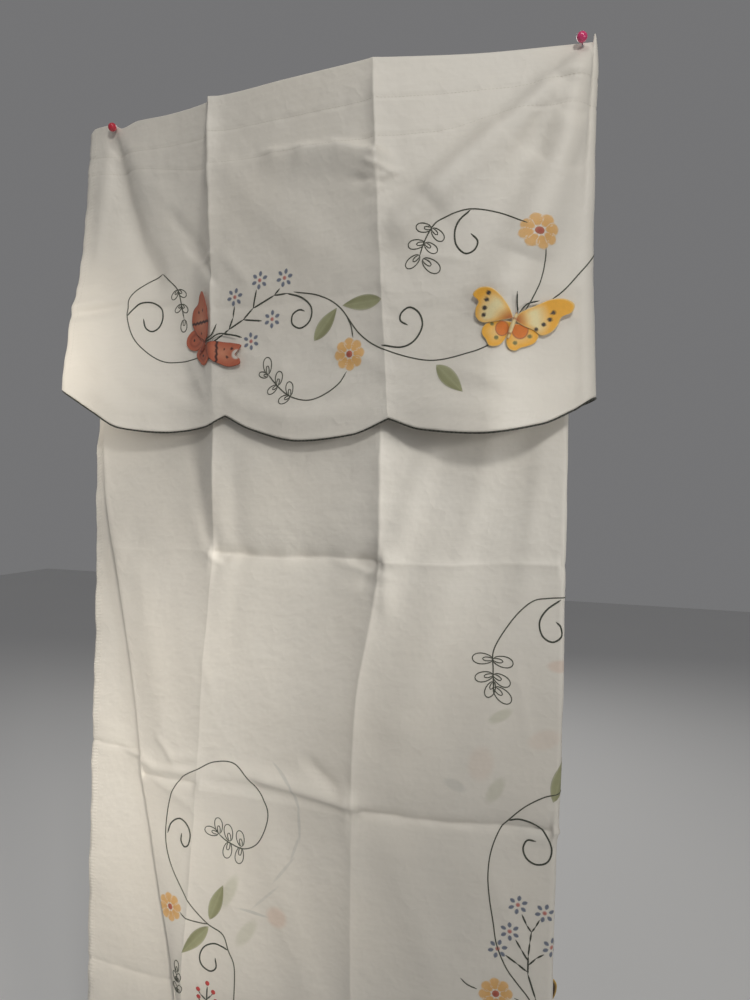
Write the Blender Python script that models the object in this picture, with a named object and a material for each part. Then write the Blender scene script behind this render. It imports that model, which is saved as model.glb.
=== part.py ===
"""Embroidered curtain with an attached scalloped valance, hung folded in half from two push pins.

The cloth hangs in metres with +Z up. The origin is the middle of the top edge, in the plane of the two
pins. +X is the viewer's right and -Y is the side that faces the room. The curtain is folded in half at
its right edge, so that both the panel and the valance have a front half, a soft turn and a back half.
"""

import functools
import math

import bmesh
import bpy
import numpy as np
from mathutils import Matrix, Vector

# Sizes in metres

DROP = 1.370                # top edge to bottom hem
CLOTH = 0.0012              # thickness of the panel and of the valance
TOP_STEP = 0.0008           # the panel's top edge lies this far under the valance's
LAYER = 0.0026              # least distance between the middles of two layers
SIDE_REACH = 0.008          # it is kept to this far on both sides of a point
CREASE_Z = -0.240           # first level packing crease, the others follow at CREASE_PITCH
CREASE_PITCH = 0.280

PIPING_R = 0.0009           # cord along the scalloped edge
PIPING_DROP = 0.0018        # its centre line under the cloth's edge
WING_T = 0.0010             # thickness of a sewn-on butterfly
WING_GAP = 0.0009           # between a butterfly and its cloth

HEAD_R = 0.0052             # ball head of a push pin
NEEDLE_R = 0.0006
NEEDLE_TIP = 0.0030         # length of the tapered point
HOLE_R = 0.0010             # hole that the needle makes in the cloth
PIN_GAP = 0.0003            # between head and needle

TURN_R = 0.00175            # radius of the two tight turns of the left pleat
STRIP_RISE = 0.002          # the pleat's strip leans back by this much at its hem
CREASE_REACH = 0.035        # a level crease fades out this far above and below
CREASE_ENDS = 0.262         # and towards both sides of the panel
TOP_FADE = 0.050            # the shape of the top edge fades out this far below it
FOLD_FADE = 0.030           # the soft folds start this far below the top

ROW_PITCH = 0.046           # nearest spacing of the panel's rows
ROWS_ABOVE = 8              # rows of the valance above its level crease
ROWS_BELOW = 5
TURN_STEPS = 5              # steps around each tight turn of the pleat
STRIP_STEPS = 4
RIGHT_TURN_STEPS = 6        # steps around the turn at the right edge

# Lines of the hanging cloth. Each line runs down the cloth. Its rows are: z, x, y.

VALANCE_FRONT = {
    "hem": ((0.000, -0.3085, 0.0000), (-0.120, -0.3110, -0.0080), (-0.190, -0.3150, -0.0140),
            (-0.230, -0.3225, -0.0190), (-0.330, -0.3245, -0.0340)),
    "left": ((0.000, -0.2400, -0.0035), (-0.120, -0.2400, -0.0100), (-0.240, -0.2450, -0.0210),
             (-0.380, -0.2450, -0.0400)),
    "hollow": ((0.000, -0.1310, -0.0175), (-0.120, -0.1450, -0.0135), (-0.240, -0.1550, -0.0140),
               (-0.380, -0.1500, -0.0290)),
    "crease_1": ((0.000, -0.1210, -0.0290), (-0.120, -0.1175, -0.0295), (-0.240, -0.1140, -0.0310),
                 (-0.380, -0.1080, -0.0360)),
    "peak_1": ((0.000, -0.1060, -0.0265), (-0.120, -0.1010, -0.0285), (-0.240, -0.0970, -0.0300),
               (-0.380, -0.0931, -0.0340)),
    "middle": ((0.000, -0.0200, -0.0345), (-0.120, -0.0180, -0.0330), (-0.240, -0.0120, -0.0320),
               (-0.380, -0.0050, -0.0370)),
    "crease_2": ((0.000, 0.0833, -0.0430), (-0.120, 0.0895, -0.0420), (-0.240, 0.0958, -0.0410),
                 (-0.380, 0.1053, -0.0410)),
    "right": ((0.000, 0.2000, -0.0140), (-0.120, 0.2000, -0.0250), (-0.240, 0.2020, -0.0370),
              (-0.380, 0.2050, -0.0500)),
    "turn": ((0.000, 0.2981, 0.0000), (-0.120, 0.2915, -0.0010), (-0.240, 0.2875, -0.0030),
             (-0.380, 0.2885, -0.0050)),
}
VALANCE_BACK = {
    "turn": ((0.000, 0.2981, 0.0078), (-0.120, 0.2915, 0.0190), (-0.240, 0.2875, 0.0270),
             (-0.380, 0.2885, 0.0330)),
    "peak_3": ((0.000, 0.1050, -0.0190), (-0.120, 0.1050, 0.0010), (-0.240, 0.1050, 0.0140),
               (-0.380, 0.1050, 0.0220)),
    "peak_4": ((0.000, -0.0950, -0.0110), (-0.120, -0.0950, 0.0090), (-0.240, -0.0950, 0.0190),
               (-0.380, -0.0950, 0.0260)),
    "hem": ((0.000, -0.2900, 0.0078), (-0.120, -0.2840, 0.0170), (-0.240, -0.2800, 0.0250),
            (-0.380, -0.2760, 0.0330)),
}
PANEL_FRONT = {
    "fold": ((0.000, -0.2780, 0.0026), (-0.120, -0.2780, 0.0010), (-0.340, -0.2780, -0.0020),
             (-0.383, -0.2835, -0.0050), (-0.450, -0.2800, -0.0060), (-0.570, -0.2585, -0.0060),
             (-0.710, -0.2340, -0.0060), (-0.800, -0.2230, -0.0060), (-0.918, -0.2020, -0.0060),
             (-1.070, -0.1765, -0.0050), (-1.200, -0.1740, -0.0040), (-1.370, -0.1720, -0.0040)),
    "hollow": ((0.000, -0.1310, -0.0149), (-0.120, -0.1400, -0.0105), (-0.240, -0.1480, -0.0090),
               (-0.400, -0.1500, -0.0110), (-0.520, -0.1500, -0.0160), (-0.660, -0.1760, -0.0146),
               (-0.800, -0.1760, -0.0126), (-0.940, -0.1740, -0.0102), (-1.080, -0.1710, -0.0076),
               (-1.370, -0.1665, -0.0066)),
    "crease_1": ((0.000, -0.1210, -0.0264), (-0.120, -0.1175, -0.0255), (-0.240, -0.1145, -0.0250),
                 (-0.400, -0.1136, -0.0250), (-0.520, -0.1164, -0.0230), (-0.660, -0.1290, -0.0210),
                 (-0.800, -0.1390, -0.0170), (-0.940, -0.1530, -0.0130), (-1.080, -0.1650, -0.0100),
                 (-1.200, -0.1600, -0.0090), (-1.370, -0.1560, -0.0090)),
    "middle": ((0.000, -0.0200, -0.0319), (-0.120, -0.0180, -0.0280), (-0.240, -0.0120, -0.0250),
               (-0.400, -0.0110, -0.0240), (-0.520, -0.0150, -0.0220), (-0.660, -0.0280, -0.0195),
               (-0.800, -0.0380, -0.0160), (-0.940, -0.0450, -0.0130), (-1.080, -0.0490, -0.0110),
               (-1.370, -0.0480, -0.0100)),
    "crease_2": ((0.000, 0.0833, -0.0404), (-0.120, 0.0880, -0.0360), (-0.240, 0.0910, -0.0320),
                 (-0.400, 0.0921, -0.0300), (-0.520, 0.0924, -0.0285), (-0.585, 0.0823, -0.0270),
                 (-0.670, 0.0662, -0.0250), (-0.785, 0.0602, -0.0215), (-0.940, 0.0595, -0.0175),
                 (-1.080, 0.0610, -0.0145), (-1.370, 0.0600, -0.0125)),
    "right": ((0.000, 0.2000, -0.0114), (-0.120, 0.1980, -0.0100), (-0.240, 0.1920, -0.0080),
              (-0.400, 0.1860, -0.0070), (-0.520, 0.1800, -0.0065), (-0.660, 0.1750, -0.0058),
              (-0.800, 0.1700, -0.0050), (-0.940, 0.1700, -0.0040), (-1.080, 0.1700, -0.0035),
              (-1.370, 0.1720, -0.0035)),
    "turn": ((0.000, 0.2945, 0.0026), (-0.120, 0.2800, 0.0070), (-0.240, 0.2745, 0.0090),
             (-0.400, 0.2735, 0.0100), (-0.560, 0.2735, 0.0100), (-0.760, 0.2720, 0.0090),
             (-0.845, 0.2685, 0.0090), (-0.940, 0.2680, 0.0090), (-1.370, 0.2670, 0.0090)),
}
PANEL_BACK = {
    "turn": ((0.000, 0.2945, 0.0052), (-0.120, 0.2800, 0.0130), (-0.240, 0.2745, 0.0190),
             (-0.400, 0.2735, 0.0220), (-0.560, 0.2735, 0.0220), (-0.760, 0.2720, 0.0210),
             (-0.845, 0.2685, 0.0210), (-0.940, 0.2680, 0.0210), (-1.370, 0.2670, 0.0210)),
    "quarter": ((0.000, 0.1050, -0.0216), (-0.120, 0.1050, -0.0050), (-0.240, 0.1050, 0.0040),
                (-0.400, 0.1000, 0.0090), (-0.800, 0.0900, 0.0130), (-1.370, 0.0900, 0.0120)),
    "three_quarters": ((0.000, -0.0950, -0.0136), (-0.120, -0.0950, 0.0030), (-0.240, -0.0950, 0.0100),
                       (-0.400, -0.0950, 0.0140), (-0.800, -0.0900, 0.0120), (-1.370, -0.0900, 0.0160)),
    "hem": ((0.000, -0.2900, 0.0052), (-0.120, -0.2830, 0.0100), (-0.240, -0.2780, 0.0150),
            (-0.400, -0.2740, 0.0180), (-0.800, -0.2720, 0.0200), (-1.370, -0.2700, 0.0190)),
}

# The left pleat of the panel. Rows: z, x of the hem, hidden overlap, how far the fold is closed. Its
# strip sits higher than the field beside it. Rows: z, lift.
PLEAT = ((0.000, -0.3070, 0.0040, 0.0), (-0.330, -0.3010, 0.0040, 0.0), (-0.365, -0.3010, 0.0045, 0.55),
         (-0.405, -0.3012, 0.0050, 1.0), (-0.520, -0.3010, 0.0070, 1.0), (-0.800, -0.3065, 0.0170, 1.0),
         (-1.080, -0.3140, 0.0250, 1.0), (-1.370, -0.3170, 0.0280, 1.0))
STRIP_LIFT = ((0.000, 0.000), (-0.400, 0.004), (-0.520, 0.014), (-0.800, 0.026), (-1.080, 0.022),
              (-1.370, 0.008))

# Height of the valance's top edge above the pins' level. Rows: x, z.
TOP_EDGE = ((-0.3085, -0.0040), (-0.3010, 0.0020), (-0.2830, 0.0030), (-0.2720, 0.0010),
            (-0.2600, -0.0040), (-0.2350, 0.0010), (-0.1900, 0.0000), (0.2700, 0.0000), (0.2960, 0.0000))
TIP_RISE = 0.0085           # little corner of cloth that stands up over the right turn

# Scalloped edge. Each scallop is a smooth curve through rows of: x, z.
SCALLOPS_FRONT = (
    ((-0.3260, -0.3250), (-0.2745, -0.3540), (-0.2334, -0.3735), (-0.1750, -0.3790),
     (-0.1250, -0.3740), (-0.0931, -0.3616)),
    ((-0.0931, -0.3616), (-0.0611, -0.3770), (0.0013, -0.3905), (0.0603, -0.3850), (0.1053, -0.3690)),
    ((0.1053, -0.3690), (0.1400, -0.3805), (0.2016, -0.3850), (0.2567, -0.3755), (0.2885, -0.3595)),
)
SCALLOPS_BACK = (
    ((-0.2800, -0.3500), (-0.2300, -0.3790), (-0.1850, -0.3860), (-0.1350, -0.3810), (-0.0950, -0.3670)),
    ((-0.0950, -0.3670), (-0.0550, -0.3830), (0.0050, -0.3900), (0.0650, -0.3840), (0.1050, -0.3690)),
    ((0.1050, -0.3690), (0.1500, -0.3850), (0.2000, -0.3870), (0.2500, -0.3710), (0.2885, -0.3530)),
)
TURN_HEM_Z = -0.3470        # the edge rises to a peak at the right turn

# Soft folds that spread from the pins and lie across the panel. Rows: x and z of both ends, height
# towards the viewer, reach on its left and on its right.
FOLDS_VALANCE = (
    (-0.2700, -0.0150, -0.2250, -0.1300, -0.0040, 0.010, 0.022),
    (-0.2250, -0.1300, -0.1950, -0.1800, -0.0040, 0.010, 0.020),
    (0.2850, -0.0100, 0.1950, -0.1050, 0.0045, 0.020, 0.012),
    (0.1950, -0.1050, 0.1200, -0.1700, 0.0040, 0.022, 0.014),
    (0.2900, -0.0100, 0.2620, -0.1250, 0.0060, 0.024, 0.012),
    (0.2620, -0.1250, 0.2120, -0.2400, 0.0050, 0.026, 0.016),
)
FOLDS_PANEL = (
    (0.1950, -0.3700, 0.1050, -0.6900, 0.0040, 0.024, 0.028),
    (0.2150, -0.8600, 0.1250, -1.1700, 0.0030, 0.028, 0.028),
)
# Level packing creases of the panel's front. Rows: level, height in the left, middle and right third.
LEVEL_CREASES = ((1, -0.0015, -0.0030, -0.0010), (2, 0.0020, 0.0035, -0.0025),
                 (3, -0.0015, -0.0030, -0.0015))

# Sewn-on butterflies. Wings are rows of: angle in degrees, length, half-width in degrees.
YELLOW_WINGS = ((130, 0.050, 28), (21, 0.061, 25), (204, 0.030, 36), (308, 0.029, 38))
RUST_WINGS = ((101, 0.062, 20), (341, 0.055, 19), (161, 0.031, 30), (264, 0.024, 30))
BROWN_WINGS = ((42, 0.052, 32), (150, 0.046, 34), (318, 0.034, 36), (215, 0.030, 36))

# Pins: x and z where the needle enters the cloth, downward slant in degrees, head's stand-off.
PINS = {"left": (-0.2700, -0.0040, 12.0, 0.0003), "right": (0.2885, -0.0050, 35.0, 0.0048)}
NEEDLE_REACH = 0.0165       # needle from the cloth's front to its point


# Small helpers

def through(rows, at, column=1):
    """Smooth curve without overshoot through rows sorted by their first column."""
    knots = np.array([row[0] for row in rows], float)
    values = np.array([row[column] for row in rows], float)
    if knots[0] > knots[-1]:
        knots, values = knots[::-1], values[::-1]
    at = min(max(at, knots[0]), knots[-1])
    step = np.diff(knots)
    rise = np.diff(values) / step
    slope = np.zeros(len(knots))
    slope[0], slope[-1] = rise[0], rise[-1]
    for k in range(1, len(knots) - 1):
        if rise[k - 1] * rise[k] > 0:
            a, b = 2 * step[k] + step[k - 1], step[k] + 2 * step[k - 1]
            slope[k] = (a + b) / (a / rise[k - 1] + b / rise[k])
    k = min(int(np.searchsorted(knots, at, side="right")) - 1, len(step) - 1)
    t = (at - knots[k]) / step[k]
    return float((2 * t ** 3 - 3 * t ** 2 + 1) * values[k] + (t ** 3 - 2 * t ** 2 + t) * step[k] * slope[k]
                 + (3 * t ** 2 - 2 * t ** 3) * values[k + 1] + (t ** 3 - t ** 2) * step[k] * slope[k + 1])


def point_on(line, z):
    """Plan point of a line of the cloth at one height."""
    return through(line, z, 1), through(line, z, 2)


def fold_height(folds, x, z):
    """Sum of the soft folds at a point of the cloth's face."""
    total = 0.0
    for x0, z0, x1, z1, height, left, right in folds:
        dx, dz = x1 - x0, z1 - z0
        length = math.hypot(dx, dz)
        along = ((x - x0) * dx + (z - z0) * dz) / length ** 2
        aside = ((x - x0) * dz - (z - z0) * dx) / length
        reach = right if aside < 0 else left
        beyond = max(0.0, -along, along - 1.0) * length
        total += height * math.exp(-(aside / reach) ** 2 - (beyond / 0.02) ** 2)
    return total * min(1.0, -z / FOLD_FADE)


def section(lines, z, groups, counts):
    """Plan points of one span of cloth: lines within a group join smoothly, groups meet in a crease."""
    points = []
    for group in groups:
        knots = [point_on(lines[name], z) for name in group]
        for k in range(len(knots) - 1):
            steps = counts[group[k]]
            for j in range(steps):
                x = knots[k][0] + (knots[k + 1][0] - knots[k][0]) * j / steps
                points.append((x, through(knots, x)))
        last = knots[-1]
    points.append(last)
    return points


def half_turn(start, end, steps):
    """Points of a round turn from the front half to the back half, both ends left out."""
    radius = (end[1] - start[1]) / 2
    middle = (start[1] + end[1]) / 2
    return [((start[0] + end[0]) / 2 + radius * math.sin(math.pi * k / steps),
             middle - radius * math.cos(math.pi * k / steps)) for k in range(1, steps)]


# The two sheets

VALANCE_GROUPS = (("hem", "left", "hollow", "crease_1"), ("crease_1", "peak_1", "middle", "crease_2"),
                  ("crease_2", "right", "turn"))
VALANCE_COUNTS = {"hem": 4, "left": 6, "hollow": 3, "crease_1": 1, "peak_1": 4, "middle": 5,
                  "crease_2": 6, "right": 5}
PANEL_GROUPS = (("fold", "hollow", "crease_1"), ("crease_1", "middle", "crease_2"),
                ("crease_2", "right", "turn"))
PANEL_COUNTS = {"fold": 5, "hollow": 2, "crease_1": 5, "middle": 5, "crease_2": 5, "right": 4}
BACK_COUNTS = {"turn": 6, "peak_3": 6, "peak_4": 6, "quarter": 4, "three_quarters": 4}
VALANCE_ENDS = -0.41        # below this height nothing lies in front of the panel


def valance_front_point(x, z):
    """Middle of the valance's front half, for a given x."""
    for group in VALANCE_GROUPS:
        knots = [point_on(VALANCE_FRONT[name], z) for name in group]
        if x <= knots[-1][0] or group is VALANCE_GROUPS[-1]:
            return Vector((x, through(knots, x) - fold_height(FOLDS_VALANCE, x, z), z))


def behind(points, others, z):
    """Moves plan points back where they would come too near to the layer in front of them."""
    if z < VALANCE_ENDS:
        return points
    return [(x, max([y] + [through(others, x + step) + LAYER for step in (-SIDE_REACH, 0, SIDE_REACH)]))
            for x, y in points]


def scallop_z(scallops, x):
    """Height of the scalloped edge."""
    for rows in scallops:
        if x <= rows[-1][0] or rows is scallops[-1]:
            return through(rows, x)


@functools.lru_cache(maxsize=None)
def valance_columns(z):
    """Plan points of the valance at one height, front half, turn and back half."""
    front = section(VALANCE_FRONT, z, VALANCE_GROUPS, VALANCE_COUNTS)
    front = [(x, y - fold_height(FOLDS_VALANCE, x, z)) for x, y in front]
    back = section(VALANCE_BACK, z, (("turn", "peak_3", "peak_4", "hem"),), BACK_COUNTS)
    back = behind(back, panel_columns(z)[3][::-1], z)
    return front, half_turn(front[-1], back[0], RIGHT_TURN_STEPS), back


def valance_grid():
    """Rows of points of the valance, from its top edge to its scalloped edge."""
    low_front, low_turn, low_back = valance_columns(-0.37)
    edge = [scallop_z(SCALLOPS_FRONT, x) for x, _ in low_front]
    turn_start, turn_end = edge[-1], scallop_z(SCALLOPS_BACK, low_back[0][0])
    for k in range(1, RIGHT_TURN_STEPS):
        bow = math.sin(math.pi * k / RIGHT_TURN_STEPS)
        foot = turn_start if k * 2 <= RIGHT_TURN_STEPS else turn_end
        edge.append(foot + (TURN_HEM_Z - foot) * bow)
    edge += [scallop_z(SCALLOPS_BACK, x) for x, _ in low_back]
    fronts = len(low_front)
    grid = []
    for row in range(ROWS_ABOVE + ROWS_BELOW + 1):
        points = []
        for column in range(len(edge)):
            if row <= ROWS_ABOVE:
                share, top, foot = row / ROWS_ABOVE, 0.0, CREASE_Z
            else:
                share, top, foot = (row - ROWS_ABOVE) / ROWS_BELOW, CREASE_Z, edge[column]
            z = top + (foot - top) * share
            front, turn, back = valance_columns(z)
            x, y = (front + turn + back)[column]
            fade = max(0.0, 1 + z / TOP_FADE)
            if column < fronts:
                rise = through(TOP_EDGE, x)
            elif column < fronts + RIGHT_TURN_STEPS - 1:
                rise = TIP_RISE if column - fronts < 2 else 0.3 * TIP_RISE
            else:
                rise = through(TOP_EDGE, x)
            points.append(Vector((x, y, z + rise * fade)))
        grid.append(points)
    return grid


def pleat_points(z, start):
    """Left pleat at one height: from the field's left fold back to the hem, listed hem first."""
    hem_x, overlap, closed = (through(PLEAT, z, k) for k in (1, 2, 3))
    arc = math.pi * TURN_R
    heading, x, y = math.pi, *start
    points = []

    def walk(length, steps, turn):
        nonlocal heading, x, y
        for _ in range(steps):
            heading += turn / steps / 2
            x += math.cos(heading) * length / steps
            y += math.sin(heading) * length / steps
            heading += turn / steps / 2
            points.append((x, y))

    walk(arc, TURN_STEPS, -math.pi * closed)
    walk(overlap, 1, 0.0)
    walk(arc, TURN_STEPS, math.pi * closed)
    x_in, y_in = x, y
    for k in range(1, STRIP_STEPS + 1):
        share = k / STRIP_STEPS
        points.append((x_in + (hem_x - x_in) * share, y_in + STRIP_RISE * closed * share))
    return points[::-1]


@functools.lru_cache(maxsize=None)
def panel_columns(z):
    """Plan points of the panel at one height: pleat, front half, turn and back half."""
    front = section(PANEL_FRONT, z, PANEL_GROUPS, PANEL_COUNTS)
    front = [(x, y - fold_height(FOLDS_PANEL, x, z) - level_crease(x, z)) for x, y in front]
    ahead = section(VALANCE_FRONT, z, VALANCE_GROUPS, VALANCE_COUNTS)
    ahead = [(x, y - fold_height(FOLDS_VALANCE, x, z)) for x, y in ahead]
    front = behind(front, ahead, z)
    pleat = behind(pleat_points(z, front[0]), ahead, z)
    back = section(PANEL_BACK, z, (("turn", "quarter", "three_quarters", "hem"),),
                   {**BACK_COUNTS, "turn": 4})
    back = behind(back, front, z)
    return pleat, front, half_turn(front[-1], back[0], RIGHT_TURN_STEPS), back


def level_crease(x, z):
    """Height of the level packing creases at a point of the panel's front half."""
    left, right = point_on(PANEL_FRONT["crease_1"], z)[0], point_on(PANEL_FRONT["crease_2"], z)[0]
    total = 0.0
    for level, *heights in LEVEL_CREASES:
        height = heights[0] if x < left - 0.001 else heights[2] if x > right + 0.001 else heights[1]
        fade = min(1.0, max(0.0, (CREASE_ENDS - abs(x)) / FOLD_FADE))
        away = abs(z - (CREASE_Z - CREASE_PITCH * level))
        total += height * fade * max(0.0, 1 - away / CREASE_REACH)
    return total


def panel_levels():
    """Heights of the panel's rows, with one on every level crease."""
    stops = [0.0] + [CREASE_Z - CREASE_PITCH * k for k in range(4)] + [-DROP]
    levels = []
    for top, foot in zip(stops, stops[1:]):
        steps = round((top - foot) / ROW_PITCH)
        levels += [top + (foot - top) * k / steps for k in range(steps)]
    return levels + [-DROP]


def panel_grid():
    """Rows of points of the panel, from its top edge to its bottom hem."""
    grid = []
    for level in panel_levels():
        pleat, front, turn, back = panel_columns(level)
        fade = max(0.0, 1 + level / TOP_FADE)
        points = []
        for k, (x, y) in enumerate(pleat):
            lift = through(STRIP_LIFT, level) * min(1.0, (len(pleat) - k) / (2 * TURN_STEPS))
            points.append(Vector((x, y, level + lift + (through(TOP_EDGE, x) - TOP_STEP) * fade)))
        for x, y in front + turn + back:
            points.append(Vector((x, y, level + (through(TOP_EDGE, x) - TOP_STEP) * fade)))
        grid.append(points)
    return grid


def sheet_mesh(name, grid, thickness):
    """Closed solid of even thickness around a grid of middle points."""
    rows, columns = len(grid), len(grid[0])
    bm = bmesh.new()
    sides = ([], [])
    for i in range(rows):
        for j in range(columns):
            across = grid[i][min(j + 1, columns - 1)] - grid[i][max(j - 1, 0)]
            down = grid[min(i + 1, rows - 1)][j] - grid[max(i - 1, 0)][j]
            normal = across.cross(down).normalized() * (thickness / 2)
            sides[0].append(bm.verts.new(grid[i][j] + normal))
            sides[1].append(bm.verts.new(grid[i][j] - normal))
    at = lambda side, i, j: sides[side][i * columns + j]
    for i in range(rows - 1):
        for j in range(columns - 1):
            bm.faces.new((at(0, i, j), at(0, i, j + 1), at(0, i + 1, j + 1), at(0, i + 1, j)))
            bm.faces.new((at(1, i, j), at(1, i + 1, j), at(1, i + 1, j + 1), at(1, i, j + 1)))
    rim = [(0, j) for j in range(columns - 1)] + [(i, columns - 1) for i in range(rows - 1)]
    rim += [(rows - 1, j) for j in range(columns - 1, 0, -1)] + [(i, 0) for i in range(rows - 1, 0, -1)]
    for (i, j), (p, q) in zip(rim, rim[1:] + rim[:1]):
        bm.faces.new((at(0, i, j), at(1, i, j), at(1, p, q), at(0, p, q)))
    return finish_mesh(name, bm)


def finish_mesh(name, bm):
    """Turns a closed bmesh into a triangulated mesh with its faces pointing out."""
    bmesh.ops.recalc_face_normals(bm, faces=bm.faces)
    bmesh.ops.triangulate(bm, faces=bm.faces, quad_method="FIXED")
    if bm.calc_volume(signed=True) < 0:
        bmesh.ops.reverse_faces(bm, faces=bm.faces)
    mesh = bpy.data.meshes.new(name)
    bm.to_mesh(mesh)
    bm.free()
    mesh.shade_smooth()
    mesh.set_sharp_from_angle(angle=math.radians(50))
    return mesh


# Pieces sewn on

def wing_outline(wings, angle):
    """Distance from a butterfly's middle to its outline."""
    reach = 0.008
    for degrees, length, half in wings:
        off = (math.degrees(angle) - degrees + 180) % 360 - 180
        if abs(off) < half * 1.6:
            reach = max(reach, length * (1 - 0.25 * abs(off) / half) * math.cos(
                min(1.0, abs(off) / (half * 1.6)) * math.pi / 2) ** 0.45)
    return reach


def butterfly_mesh(name, wings, place):
    """Thin patch in rings around its middle. place gives the point and normal for offsets x, z."""
    sectors, rings = 28, (0.34, 0.68, 1.0)
    bm = bmesh.new()

    def pair(x, z, share):
        point, normal = place(x, z, share)
        return (bm.verts.new(point + normal * (WING_T / 2)), bm.verts.new(point - normal * (WING_T / 2)))

    centre = pair(0.0, 0.0, 0.0)
    loops = []
    for share in rings:
        loop = []
        for k in range(sectors):
            angle = 2 * math.pi * k / sectors
            reach = wing_outline(wings, angle) * share
            loop.append(pair(reach * math.cos(angle), reach * math.sin(angle), share))
        loops.append(loop)
    for k in range(sectors):
        n = (k + 1) % sectors
        bm.faces.new((centre[0], loops[0][k][0], loops[0][n][0]))
        bm.faces.new((centre[1], loops[0][n][1], loops[0][k][1]))
        for inner, outer in zip(loops, loops[1:]):
            bm.faces.new((inner[k][0], outer[k][0], outer[n][0], inner[n][0]))
            bm.faces.new((inner[k][1], inner[n][1], outer[n][1], outer[k][1]))
        rim = loops[-1]
        bm.faces.new((rim[k][0], rim[k][1], rim[n][1], rim[n][0]))
    return finish_mesh(name, bm)


def on_valance(x0, z0, lift):
    """Places a patch on the valance's face around x0, z0, its wing tips raised by lift."""
    away = CLOTH / 2 + WING_GAP + WING_T / 2

    def place(x, z, share):
        here = valance_front_point(x0 + x, z0 + z)
        here.y = min(valance_front_point(x0 + x + step, z0 + z).y for step in (-0.005, 0.0, 0.005))
        beside = valance_front_point(x0 + x + 0.004, z0 + z) - valance_front_point(x0 + x - 0.004, z0 + z)
        under = valance_front_point(x0 + x, z0 + z - 0.004) - valance_front_point(x0 + x, z0 + z + 0.004)
        normal = under.cross(beside).normalized()
        if normal.y > 0:
            normal = -normal
        return here + normal * (away + lift * share ** 2), normal

    return place


def behind_panel(x0, z0):
    """Places a patch behind the back half of the panel, by the right turn."""
    def place(x, z, share):
        y = max(point_on(PANEL_BACK["turn"], z0)[1], point_on(PANEL_BACK["turn"], z0 + z)[1])
        gap = CLOTH / 2 + WING_GAP + WING_T / 2
        return Vector((x0 + x, y + gap + 0.001 * share ** 2, z0 + z)), Vector((0, 1, 0))

    return place


# Pins

def turned_mesh(name, profile, sides):
    """Solid of revolution about Z from radius and height pairs that start and end on the axis."""
    bm = bmesh.new()
    first = bm.verts.new((0, 0, profile[0][1]))
    last = bm.verts.new((0, 0, profile[-1][1]))
    rings = [[bm.verts.new((r * math.cos(2 * math.pi * k / sides), r * math.sin(2 * math.pi * k / sides), h))
              for k in range(sides)] for r, h in profile[1:-1]]
    for k in range(sides):
        n = (k + 1) % sides
        bm.faces.new((first, rings[0][n], rings[0][k]))
        for lower, upper in zip(rings, rings[1:]):
            bm.faces.new((lower[k], lower[n], upper[n], upper[k]))
        bm.faces.new((last, rings[-1][k], rings[-1][n]))
    return finish_mesh(name, bm)


def ball_profile(radius, bands=9):
    """Profile of a ball head with a small flat where the needle leaves it."""
    turn = [math.pi * k / bands for k in range(bands + 1)]
    return [(radius * math.sin(a), -radius * math.cos(a)) for a in turn]


def pin_frame(side):
    """Where a pin enters the cloth, with its own Z axis running along the needle."""
    x, z, slant, stand_off = PINS[side]
    face = valance_front_point(x, z).y - CLOTH / 2
    tilt = math.radians(slant)
    along = Vector((0, math.cos(tilt), -math.sin(tilt)))
    entry = Vector((x, face, z))
    return entry, along, along.to_track_quat("Z", "Y").to_matrix().to_4x4(), stand_off


# Scene

def paint(name, colour, roughness, metallic=0.0):
    """Plain material of one sub-part."""
    material = bpy.data.materials.new(name)
    material.use_nodes = True
    shader = material.node_tree.nodes["Principled BSDF"]
    shader.inputs["Base Color"].default_value = (*colour, 1.0)
    shader.inputs["Roughness"].default_value = roughness
    shader.inputs["Metallic"].default_value = metallic
    return material


def add(name, data, material, parent):
    """Adds one named sub-part under the curtain's empty."""
    piece = bpy.data.objects.new(name, data)
    piece.data.materials.append(material)
    bpy.context.scene.collection.objects.link(piece)
    piece.parent = parent
    return piece


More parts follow.
